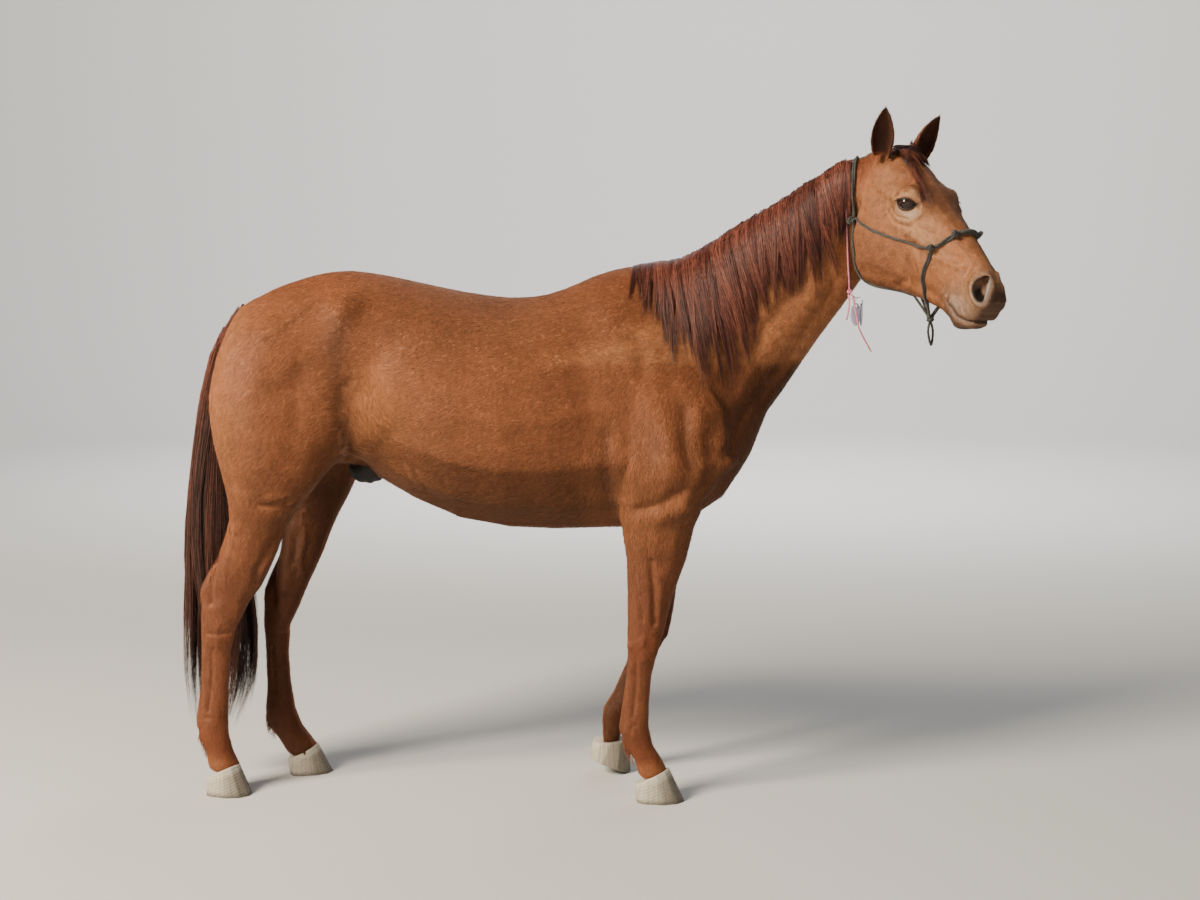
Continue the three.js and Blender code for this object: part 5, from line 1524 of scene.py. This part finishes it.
for side in SIDES:
    aim, slit, over = eye_axes(side)
    centre = eye_places[side]
    bpy.ops.mesh.primitive_uv_sphere_add(segments=64, ring_count=40, radius=EYE_RADIUS)
    ball = bpy.context.object
    ball.name = f"eyeball_{side}"
    turned = np.stack([slit, over, aim], 1)
    local = points_of(ball.data)
    # The cornea stands a little proud over the iris.
    from_axis = np.hypot(local[:, 0], local[:, 1])
    ahead = local[:, 2] > 0
    local[:, 2] += ahead * CORNEA_RISE * (1 - step(from_axis, 0.006, IRIS_REACH))
    pupil = (local[:, 0] / PUPIL_HALF[0]) ** 2 + (local[:, 1] / PUPIL_HALF[1]) ** 2
    iris = 1 - step(from_axis, IRIS_REACH * 0.92, IRIS_REACH * 1.02)
    white, brown, black = (np.array(linear(EYE_TONES[part])) for part in ("white", "iris", "pupil"))
    brown = brown * (0.8 + 0.5 * step(from_axis, 0.004, 0.016))[:, None]
    colour = mixed(white, brown, (iris * ahead)[:, None])
    colour = mixed(colour, black, (ahead * (1 - step(pupil, 0.75, 1.15)))[:, None])
    set_points(ball.data, from_head(centre + local @ turned.T))
    set_colours(ball.data, colour)
    smooth(ball)
    finished(ball, "eye", eye_gloss, f"eye_{side}")

    # The margin of the lids: a thin rolled rim along the almond opening.
    rim = []
    for number in range(RIM_TURNS):
        turn = 2 * math.pi * number / RIM_TURNS
        u = SLIT_HALF * math.cos(turn) * 1.02
        lid = "upper" if math.sin(turn) >= 0 else "lower"
        v = math.copysign(float(lid_height(np.array(u / 1.02), lid)), math.sin(turn))
        way = slit * u + over * v
        depth = math.sqrt(max(EYE_RADIUS ** 2 - u * u - v * v, 1e-6))
        place = unit(way + aim * depth) * (EYE_RADIUS + 0.0012)
        rim.append(centre + place)
    rim = np.array(rim)
    ahead_way = unit(np.roll(rim, -1, 0) - np.roll(rim, 1, 0))
    lift_way = unit(rim - centre)
    side_way = np.cross(ahead_way, lift_way)
    around = np.linspace(0, 2 * math.pi, RIM_SIDES, endpoint=False)
    ring = rim[:, None] + LID_THICK * (np.cos(around)[None, :, None] * lift_way[:, None] * 0.8
                                       + np.sin(around)[None, :, None] * side_way[:, None] * 1.25)
    mesh = bpy.data.meshes.new(f"lid_margin_{side}")
    mesh.from_pydata([tuple(p) for p in from_head(ring.reshape(-1, 3))], [],
                     ring_quads(RIM_TURNS, RIM_SIDES).tolist())
    work = bmesh.new()
    work.from_mesh(mesh)
    bmesh.ops.recalc_face_normals(work, faces=work.faces)
    work.to_mesh(mesh)
    work.free()
    margin = new_object(f"lid_margin_{side}", mesh)
    smooth(margin)
    finished(margin, "eye", lid_skin)

    # Lashes on the upper lid.
    luck = np.random.default_rng(LASH_SEED)
    chosen = rim[(rim - centre) @ over > 0.004]
    roots = chosen[luck.integers(0, len(chosen), LASHES)] + luck.normal(0, 0.0006, (LASHES, 3))
    outs = unit(roots - centre)
    share = np.linspace(0, 1, LASH_STATIONS)[None, :, None]
    size = LASH_LENGTH * luck.uniform(0.6, 1.1, LASHES)[:, None, None]
    droop = -over * 0.35
    line = roots[:, None] + (outs[:, None] * share + (over * 0.15 + droop * share) * share) * size
    line = from_head(line.reshape(-1, 3)).reshape(LASHES, LASH_STATIONS, 3)
    ups = np.tile((over @ head_axes.T)[None, None], (LASHES, LASH_STATIONS, 1))
    dark = np.tile(np.array(linear(EYE_TONES["lash"])), (LASHES, LASH_STATIONS, 1))
    lash = hair_mesh(f"lashes_{side}", line, ups, np.full(LASHES, LASH_WIDTH), dark)
    finished(lash, "mane_hair", mane_hair)

# ------------ hooves
# Unshod hooves of grown horn: pale at the heels, grey-brown at the toes, with fine upright streaks,
# growth rings that follow the coronet and a flat lower edge that is darker towards the ground.

HOOF_CORNERS = ("fore_right", "fore_left", "hind_right", "hind_left")
HOOF_SEED = 61
HOOF_VOXEL = 0.0022
RING_SPACING = 0.0085
RING_DEPTH = 0.00045
HOOF_TONES = {"heel": "#B8AE99", "toe": "#6F685B", "rim": "#CFC6B4", "ground_edge": "#4E473D"}
horn, tree, shader = material("hoof_horn", Roughness=0.55, Specular_IOR_Level=0.4)
places = node(tree, "ShaderNodeTexCoord").outputs["Object"]
upright = stretched(tree, places, (420.0, 420.0, 45.0))
streak_height, streaks = noise_factor(tree, upright, 1.0, 3.0, 0.5, 0.8, 1.15)
show_paint(tree, shader, streaks)
show_bump(tree, shader, streak_height, 0.3, 0.0006)
luck = np.random.default_rng(HOOF_SEED)
coronet_roots, coronet_outs = [], []
skin_points, skin_outs = points, normals
for corner in HOOF_CORNERS:
    low, high = np.array(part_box(f"hoof_{corner}"))
    hoof = new_object(f"hoof_wall_{corner}", merged_copy([f"hoof_{corner}"], 0))
    remesh(hoof, HOOF_VOXEL)
    shape = evened(points_of(hoof.data), edges_of(hoof.data), 14)
    lifted = corner == "fore_left"
    shape[:, 2] = np.maximum(shape[:, 2], 0)
    if not lifted:
        shape[:, 2] *= step(shape[:, 2], 0.0, 0.005)
    set_points(hoof.data, shape)
    outs = normals_of(hoof.data)
    middle = (low + high) / 2
    offset = shape - middle
    slope = 0.38 + (0.45 if lifted else 0.0)
    high_up = offset[:, 2] - slope * offset[:, 0]
    wall = step(1 - np.abs(outs[:, 2]), 0.2, 0.5)
    ring = np.sin(high_up / RING_SPACING * 2 * math.pi + 1.2 * np.sin(offset[:, 1] * 60))
    ringed = shape + outs * (ring * RING_DEPTH * wall)[:, None]
    ringed[:, 2] = np.maximum(ringed[:, 2], 0)
    set_points(hoof.data, ringed)
    toe = step(offset[:, 0], -0.045, 0.05)[:, None]
    heel, front, rim, edge = (np.array(linear(tone)) for tone in HOOF_TONES.values())
    colour = mixed(heel, front, toe)
    turn = np.arctan2(offset[:, 1], offset[:, 0] + 0.02)
    stripes = 0.5 + 0.25 * np.sin(turn * 23 + 1.7) + 0.25 * np.sin(turn * 41 + 0.4)
    colour = colour * (0.82 + 0.32 * stripes[:, None]) * (1 + 0.06 * ring[:, None])
    top = step(high_up, high_up.max() - 0.03, high_up.max() - 0.012)[:, None]
    colour = mixed(colour, rim, 0.5 * top)
    # Darker towards the ground.
    colour = mixed(colour, edge, (1 - step(shape[:, 2], 0.002, 0.016))[:, None] * 0.7)
    set_colours(hoof.data, np.clip(colour, 0, 1))
    hoof.data.materials.clear()
    smooth(hoof)
    finished(hoof, "hoof", horn, f"hoof_{corner}")

    # Where hair grows over the coronet.
    hoof_shape = BVHTree.FromObject(hoof, bpy.context.evaluated_depsgraph_get())
    near_box = ((skin_points > low - 0.02) & (skin_points < high + 0.02)).all(1)
    for index in np.nonzero(near_box)[0]:
        if hoof_shape.find_nearest(Vector(skin_points[index]), 0.008)[0] is not None:
            if skin_outs[index, 2] > -0.5:
                coronet_roots.append(skin_points[index])
                coronet_outs.append(skin_outs[index])

# A fringe of hair hangs over the top of each hoof.
CORONET_TUFTS = 5200
CORONET_LENGTH, CORONET_WIDTH = 0.017, 0.0011
roots, outs = np.array(coronet_roots), np.array(coronet_outs)
chosen = luck.integers(0, len(roots), CORONET_TUFTS)
roots, outs = roots[chosen] + luck.normal(0, 0.0012, (CORONET_TUFTS, 3)), outs[chosen]
ways = hair_flow(roots, outs)
length = CORONET_LENGTH * luck.uniform(0.6, 1.15, CORONET_TUFTS)
coronet = tuft_mesh("coat_coronets", roots, ways, outs, length, np.full(CORONET_TUFTS, CORONET_WIDTH),
                    0.0018 + 0.08 * length, painted(roots, outs) * 1.15,
                    places_on_map(roots), luck)
finished(coronet, "coat", skin_material)

# Longer hair behind each fetlock.
FETLOCK_HAIRS, FETLOCK_STATIONS = 760, 5
FETLOCK_WIDTH = 0.001
behind = np.zeros(len(skin_points), bool)
for corner in HOOF_CORNERS:
    low, high = np.array(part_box(f"hoof_{corner}"))
    around = (skin_points[:, 0] > low[0] - 0.11) & (skin_points[:, 0] < high[0])
    around &= (skin_points[:, 1] > low[1] - 0.01) & (skin_points[:, 1] < high[1] + 0.01)
    around &= (skin_points[:, 2] > high[2] + 0.035) & (skin_points[:, 2] < high[2] + 0.095)
    behind |= around & (skin_outs[:, 0] < -0.72)
places = np.nonzero(behind)[0]
chosen = places[luck.integers(0, len(places), FETLOCK_HAIRS)]
share = np.linspace(0, 1, FETLOCK_STATIONS)[None, :, None]
way = unit(np.array((-0.3, 0, -1.0)) + luck.normal(0, 0.13, (FETLOCK_HAIRS, 3)))
size = luck.uniform(0.012, 0.036, FETLOCK_HAIRS)[:, None, None]
line = skin_points[chosen][:, None] + way[:, None] * share * size
line = line + np.array((0.35, 0, -0.1)) * share ** 2 * size
outs = np.tile(skin_outs[chosen][:, None], (1, FETLOCK_STATIONS, 1))
tones = painted(skin_points[chosen], skin_outs[chosen])[:, None] * 0.85
tones = np.tile(tones, (1, FETLOCK_STATIONS, 1))
feather = hair_mesh("coat_fetlocks", line, outs, np.full(FETLOCK_HAIRS, FETLOCK_WIDTH), tones)
finished(feather, "coat", skin_material)


# ------------ halter
# A hand-tied halter of one thin braided rope, black with olive flecks. The ropes lie on the coat,
# meet in tight knots and are doubled from the cheeks down; the noseband is whipped with cord.

ROPE_RADIUS = 0.0038
ROPE_RING = 20
ROPE_STRIDE = 0.0016
ROPE_TONES = ("#121210", "#4C4839")
ROPE_LIFT = 0.001  # between a rope and the skin, for the hair
THIN = 0.86  # how thin two ropes side by side are drawn


def resampled(points, stride):
    """The same line with even short steps."""
    points = np.asarray(points, float)
    along = np.concatenate([[0], np.cumsum(np.linalg.norm(np.diff(points, axis=0), axis=1))])
    count = max(3, int(round(along[-1] / stride)) + 1)
    places = np.linspace(0, along[-1], count)
    return np.stack([np.interp(places, along, points[:, k]) for k in range(3)], 1)


def smooth_route(points, stride):
    """A smooth line through the points, in even steps."""
    points = np.asarray(points, float)
    full = np.vstack([2 * points[0] - points[1], points, 2 * points[-1] - points[-2]])
    line = []
    share = np.linspace(0, 1, 12, endpoint=False)[:, None]
    for k in range(len(points) - 1):
        a, b, c, d = full[k:k + 4]
        line.append(0.5 * (2 * b + (c - a) * share + (2 * a - 5 * b + 4 * c - d) * share ** 2
                           + (3 * b - a - 3 * c + d) * share ** 3))
    return resampled(np.vstack([*line, points[-1:]]), stride)


def frames_along(line):
    """Two directions across a line at each of its points, which turn as little as they can."""
    ways = unit(np.gradient(line, axis=0))
    first = np.cross(ways[0], (0.0, 0.0, 1.0))
    if np.linalg.norm(first) < 0.1:
        first = np.cross(ways[0], (1.0, 0.0, 0.0))
    ones = [unit(first)]
    for way in ways[1:]:
        ones.append(unit(ones[-1] - way * (ones[-1] @ way)))
    ones = np.array(ones)
    return ones, np.cross(ways, ones)


def rope_mesh(name, route, radius, tones, plaits=4, pitch=0.013, groove=0.1, stride=ROPE_STRIDE):
    """A braided rope along a route, as a closed tube with its strands raised and coloured."""
    line = smooth_route(route, stride)
    one, two = frames_along(line)
    count = len(line)
    around = np.linspace(0, 2 * math.pi, ROPE_RING, endpoint=False)[None]
    travel = (np.arange(count) * stride * 2 * math.pi / pitch)[:, None]
    left_strand = np.cos(plaits * around + travel)
    right_strand = np.cos(plaits * around - travel)
    raised = np.maximum(left_strand, right_strand)
    reach = radius * (1 - groove + groove * raised)
    reach[[0, -1]] *= 0.55
    verts = (line[:, None] + one[:, None] * (np.cos(around) * reach)[..., None]
             + two[:, None] * (np.sin(around) * reach)[..., None])
    index = np.arange(count * ROPE_RING).reshape(count, ROPE_RING)
    beside = np.roll(index, -1, 1)
    quads = np.stack([index[:-1], beside[:-1], beside[1:], index[1:]], 2).reshape(-1, 4)
    first, last = count * ROPE_RING, count * ROPE_RING + 1
    caps = np.concatenate([np.stack([beside[0], index[0], np.full(ROPE_RING, first)], 1),
                           np.stack([index[-1], beside[-1], np.full(ROPE_RING, last)], 1)])
    dark, fleck = (np.array(linear(tone)) for tone in tones)
    flecked = 0.45 + 0.55 * (np.sin(travel * 0.37) > 0)
    colour = mixed(dark, fleck, (step(right_strand, 0.35, 0.8) * flecked)[..., None])
    # Painted shade in the grooves between the strands, lighter on their crowns.
    colour = colour * (0.75 + 0.35 * (raised[..., None] * 0.5 + 0.5))
    verts = np.vstack([verts.reshape(-1, 3), line[:1], line[-1:]])
    colour = np.vstack([colour.reshape(-1, 3), np.tile(dark, (2, 1))])
    return soup(name, verts, quads, caps, colour)


def laid(waypoints, core, rise, stride=0.007, evenings=3):
    """A route laid on the skin under straight waypoints, seen from outside towards a core."""
    route = []
    for place in resampled(waypoints, stride):
        inwards = unit(np.array(core(place)) - place)
        hit = skin_shape.ray_cast(Vector(place - inwards * 0.07), Vector(inwards))[0]
        route.append(place if hit is None else np.array(hit) - inwards * rise)
    route = np.array(route)
    for _ in range(evenings):
        route[1:-1] = (route[:-2] + 2 * route[1:-1] + route[2:]) / 4
    return route


def twin_routes(route, core, apart, turns=0.0):
    """Two routes side by side on the skin, which may wind round each other."""
    ways = unit(np.gradient(route, axis=0))
    outs = unit(route - np.array([core(place) for place in route]))
    outs = unit(outs - ways * (outs * ways).sum(1)[:, None])
    across = np.cross(ways, outs)
    turn = (turns * 2 * math.pi * np.linspace(0, 1, len(route)))[:, None]
    pinch = np.sin(np.linspace(0, math.pi, len(route)))[:, None] ** 0.4
    shift = (across * np.cos(turn) + outs * np.sin(turn)) * apart * (0.4 + 0.6 * pinch)
    return route + shift, route - shift


def knot_route(centre, size, turn):
    """A tight overhand knot round a place, on a torus."""
    t = np.linspace(0, 2 * math.pi, 43)
    ring = 2 + np.cos(3 * t)
    shape = np.stack([ring * np.cos(2 * t), ring * np.sin(2 * t), 1.25 * np.sin(3 * t)], 1) / 3
    turned = np.array(Matrix.Rotation(turn, 3, "Y") @ Matrix.Rotation(0.7 + turn, 3, "X"))
    return centre + shape @ turned.T * size


def beside_head(place):
    return from_head(np.array((to_head(place)[0], 0.0, -0.12)))


halter_rope, tree, shader = material("braided_polyester", Roughness=0.62, Sheen_Weight=0.3,
                                     Sheen_Roughness=0.5)
show_paint(tree, shader)
places = node(tree, "ShaderNodeTexCoord").outputs["Object"]
yarn = node(tree, "ShaderNodeTexNoise", {"Vector": places, "Scale": 900.0})
show_bump(tree, shader, yarn.outputs["Fac"], 0.4, 0.0006)


def tied(name, route, radius, *nodes, **braid):
    """One rope of the halter."""
    piece = rope_mesh(f"halter_{name}", route, radius, ROPE_TONES, **braid)
    finished(piece, "halter_rope", halter_rope, *nodes)


def tied_pair(name, routes, radius, node):
    """Two ropes side by side, of which the first stands for the node."""
    for number, route in enumerate(routes):
        tied(f"{name}_{number + 1}", route, radius, *((node,) if number == 0 else ()))


KNOT_SIZE = 0.0082
knots = {}
for name in ("chin", "throat_right", "throat_left", "cheek_right", "cheek_left", "nose_right",
             "nose_left"):
    low, high = np.array(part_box(f"halter_knot_{name}"))
    knots[name] = (low + high) / 2
for number, (name, centre) in enumerate(knots.items()):
    tied(f"tied_{name}", knot_route(centre, KNOT_SIZE, 0.9 * number), ROPE_RADIUS,
         f"halter_knot_{name}")

CHEEK_ROPE = [(0.126, 0.087, -0.177), (0.182, 0.086, -0.156), (0.289, 0.075, -0.112)]
CHIN_ROPE = [(0.345, 0.058, -0.15), (0.366, 0.048, -0.2), (0.388, 0.036, -0.244)]
THROAT_ROPE = [(0.09, 0.088, -0.236), (0.11, 0.088, -0.262), (0.138, 0.084, -0.283),
               (0.166, 0.072, -0.298), (0.2, 0.046, -0.32), (0.26, 0.026, -0.312),
               (0.33, 0.016, -0.284)]
NOSE_ROPE = [(0.342, 0.06, -0.038)]
for side, word in ((-1, "right"), (1, "left")):
    throat, cheek, nose = (knots[f"{name}_{word}"] for name in ("throat", "cheek", "nose"))

    def between(start, places, end):
        return np.vstack([start, *(from_head(np.array((x, side * y, z))) for x, y, z in places), end])

    route = laid(between(throat, CHEEK_ROPE, cheek), beside_head, ROPE_RADIUS + ROPE_LIFT)
    route[0], route[-1] = throat, cheek
    tied(f"cheek_rope_{word}", route, ROPE_RADIUS, f"halter_cheek_{word}")
    route = laid(between(throat, THROAT_ROPE, knots["chin"])[:-1], beside_head,
                 ROPE_RADIUS + ROPE_LIFT)
    route = np.vstack([throat, route[1:], knots["chin"]])
    tied(f"throat_rope_{word}", route, ROPE_RADIUS, f"halter_throat_{word}")
    route = laid(between(cheek, CHIN_ROPE, knots["chin"])[:-1], beside_head,
                 ROPE_RADIUS + ROPE_LIFT)
    route = np.vstack([cheek, route[1:], knots["chin"]])
    tied_pair(f"chin_rope_{word}", twin_routes(resampled(route, 0.01), beside_head, 0.003, 0.5),
              ROPE_RADIUS * THIN, f"halter_chin_{word}")
    route = laid(between(cheek, NOSE_ROPE, nose), beside_head, ROPE_RADIUS + 2 * ROPE_LIFT)
    route[0], route[-1] = cheek, nose
    tied_pair(f"nose_rope_{word}", twin_routes(route, beside_head, 0.004, 0.5), ROPE_RADIUS,
              f"halter_nose_{word}")

# Over the nose the two ropes are whipped with a thinner cord.
TURN_RADIUS, WHIPPING_RADIUS = 0.0052, 0.0022
TURN_PITCH, TURN_STEPS = 0.0044, 10
BARE_ENDS = 14  # steps at each end that the whipping leaves free
BRIDGE = (0.354, 0, -0.005)
over_nose = laid([knots["nose_right"], from_head(np.array(BRIDGE)), knots["nose_left"]],
                 beside_head, 0.0072)
over_nose[0], over_nose[-1] = knots["nose_right"], knots["nose_left"]
tied_pair("noseband_core", twin_routes(over_nose, beside_head, 0.003), ROPE_RADIUS * 0.8,
          "halter_noseband")
line = smooth_route(over_nose, TURN_PITCH / TURN_STEPS)
one, two = frames_along(line)
angle = (np.arange(len(line)) * 2 * math.pi / TURN_STEPS)[:, None]
coil = line + (one * np.cos(angle) + two * np.sin(angle)) * TURN_RADIUS
tied("whipping", coil[BARE_ENDS:-BARE_ENDS], WHIPPING_RADIUS, pitch=0.006)

# The crown rope goes over the neck just behind the ears.
CROWN = [(0.783, -0.043, 1.711), (0.784, -0.038, 1.753), (0.788, -0.028, 1.778),
         (0.796, -0.004, 1.8), (0.805, 0.02, 1.782), (0.819, 0.041, 1.755),
         (0.838, 0.056, 1.745), (0.837, 0.062, 1.684), (0.876, 0.067, 1.654)]


def behind_ears(place):
    return (0.815, 0.006, min(place[2], 1.7))


route = laid([knots["throat_right"], *CROWN, knots["throat_left"]], behind_ears,
             ROPE_RADIUS + 4 * ROPE_LIFT)
route[0], route[-1] = knots["throat_right"], knots["throat_left"]
tied_pair("crown_rope", twin_routes(route, behind_ears, 0.003, 1.5), ROPE_RADIUS * THIN,
          "halter_crown")

# The loop that a lead is clipped to, one bight under the chin.
LOOP_DROP = 0.07
LOOP_SIDE = np.array((0.79, 0.61, 0)) * 0.009
chin = knots["chin"]
loop = [chin, chin + (0.002, 0, -LOOP_DROP * 0.5) + LOOP_SIDE, chin + (0.004, 0, -LOOP_DROP),
        chin + (0.002, 0, -LOOP_DROP * 0.5) - LOOP_SIDE, chin + (0, 0, -0.004)]
tied("bight", loop, ROPE_RADIUS * 0.9, "halter_loop")

# ------------ neck cord, ring and tags
# A thin pink cord round the throat, knotted on its right, with two free ends, a steel ring and two
# bare oval tags.

CORD_RADIUS = 0.0025
CORD_TONES = ("#C4617A", "#E8A9B4")
CORD_LOOP = [(0.778, -0.016, 1.465), (0.772, -0.035, 1.527), (0.766, -0.045, 1.607),
             (0.762, -0.044, 1.685), (0.761, -0.032, 1.745), (0.762, -0.012, 1.78),
             (0.765, 0.014, 1.786), (0.771, 0.04, 1.76), (0.777, 0.063, 1.707),
             (0.784, 0.079, 1.634), (0.79, 0.086, 1.551), (0.793, 0.081, 1.483),
             (0.793, 0.065, 1.436), (0.79, 0.04, 1.417), (0.784, 0.01, 1.427)]
# The free ends, from the middle of the knot.
CORD_END = [(0.001, -0.003, 0.0), (0.004, -0.01, -0.006), (0.009, -0.019, -0.022),
            (0.013, -0.025, -0.044), (0.018, -0.029, -0.066), (0.022, -0.031, -0.092),
            (0.031, -0.028, -0.114), (0.045, -0.02, -0.139), (0.061, -0.014, -0.166)]
CORD_SHORT_END = [(-0.002, -0.001, -0.001), (-0.003, -0.004, -0.009), (-0.001, -0.009, -0.024),
                  (-0.002, -0.014, -0.042), (-0.005, -0.017, -0.061), (-0.009, -0.018, -0.079)]
KNOT_REACH = 0.0086
low, high = np.array(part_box("neck_cord_knot"))
cord_knot = (low + high) / 2
pink_cord, tree, shader = material("pink_nylon_cord", Roughness=0.5, Sheen_Weight=0.25)
show_paint(tree, shader)


def round_neck(place):
    return (0.777, 0.018, min(max(place[2], 1.5), 1.72))


def pink_piece(name, route, node, radius=CORD_RADIUS):
    piece = rope_mesh(f"pink_{name}", route, radius, CORD_TONES, plaits=3, pitch=0.009)
    finished(piece, "neck_cord", pink_cord, node)
    return piece


loop = laid(CORD_LOOP, round_neck, CORD_RADIUS + 0.002)
pink_piece("neck_cord", np.vstack([cord_knot, loop, cord_knot]), "neck_cord")
pink_piece("cord_knot", knot_route(cord_knot, 0.0056, 0.4), "neck_cord_knot")
for name, places in (("neck_cord_end", CORD_END), ("neck_cord_short_end", CORD_SHORT_END)):
    route = smooth_route([cord_knot + np.array(place) for place in places], 0.0008)
    route = route[np.linalg.norm(route - cord_knot, axis=1) > KNOT_REACH]
    length = float(np.linalg.norm(np.diff(route, axis=0), axis=1).sum())
    piece = pink_piece(name, resampled(route, 0.005), name)

RING_RADIUS = 0.014
RING_WIRE = 0.0012
STEEL_TONE = "#B9BBBD"
ring_centre = cord_knot + (0.024, -0.014, -0.03)
ring_along = unit(np.array((1.0, -1.0, 0.0)))


def on_ring(degrees):
    angle = math.radians(degrees)
    return ring_centre + ring_along * math.cos(angle) * RING_RADIUS + np.array(
        (0, 0, math.sin(angle) * RING_RADIUS))


link_end = on_ring(135) + (cord_knot - on_ring(135)) * 0.12
link = [cord_knot + (0.004, -0.001, -0.004), (cord_knot + link_end) / 2 + (0, 0, -0.002), link_end]
pink_piece("cord_link", link, "neck_cord_link", CORD_RADIUS * 0.8)
steel, _, _ = material("nickel_plated_steel", Base_Color=(*linear(STEEL_TONE), 1), Metallic=1.0,
                       Roughness=0.22)
bpy.ops.mesh.primitive_torus_add(major_radius=RING_RADIUS, minor_radius=RING_WIRE,
                                 major_segments=64, minor_segments=14)
ring = bpy.context.object
ring.name = "steel_ring"
upwards = np.array((0, 0, 1.0))
ring_axes = np.array([ring_along, upwards, np.cross(ring_along, upwards)])
set_points(ring.data, ring_centre + points_of(ring.data) @ ring_axes)
smooth(ring)
finished(ring, "ring_steel", steel, "neck_tag_ring")

TAG_SIZE = (0.032, 0.064, 0.0024)
TAG_HOLE = 0.0045
TAG_SIDES = 64
# The outline of a tag, from the edge of the hole on one face, over the rounded rim, to the other
# face: the share of the way out, and the level.
TAG_ROWS = [(0.0, -1.0), (0.04, -1.0), (0.5, -1.0), (0.94, -1.0), (0.985, -0.7), (1.0, 0.0),
            (0.985, 0.7), (0.94, 1.0), (0.5, 1.0), (0.04, 1.0), (0.0, 1.0)]
# Each tag: its place on the ring and its turn in degrees, its tone and its material.
TAGS = [(-135, 24, "#C9C5DB", "lilac_plastic"), (-45, 72, "#5B5480", "violet_plastic")]
width, height, thick = TAG_SIZE
around = np.linspace(0, 2 * math.pi, TAG_SIDES, endpoint=False)
hole_x, hole_y = TAG_HOLE * np.cos(around), TAG_HOLE * np.sin(around)
rim_x = width / 2 * np.cos(around)
rim_y = TAG_HOLE * 2 - height / 2 + height / 2 * np.sin(around)
verts = np.vstack([np.stack([hole_x + (rim_x - hole_x) * share,
                             np.full(TAG_SIDES, level * thick / 2),
                             hole_y + (rim_y - hole_y) * share], 1) for share, level in TAG_ROWS])
for number, (at, turn, tone, finish) in enumerate(TAGS):
    tag = bpy.data.meshes.new(f"tag_{number + 1}")
    turned = verts @ np.array(Matrix.Rotation(math.radians(turn), 3, "Z")).T + on_ring(at)
    tag.from_pydata([tuple(p) for p in turned], [], ring_quads(len(TAG_ROWS), TAG_SIDES).tolist())
    tag = new_object(f"oval_tag_{number + 1}", tag)
    make_active(tag)
    bpy.ops.object.shade_smooth_by_angle(angle=math.radians(40))
    plastic, _, _ = material(finish, Base_Color=(*linear(tone), 1), Roughness=0.22, Coat_Weight=0.4)
    finished(tag, "tag_plastic", plastic, f"neck_tag_{number + 1}")
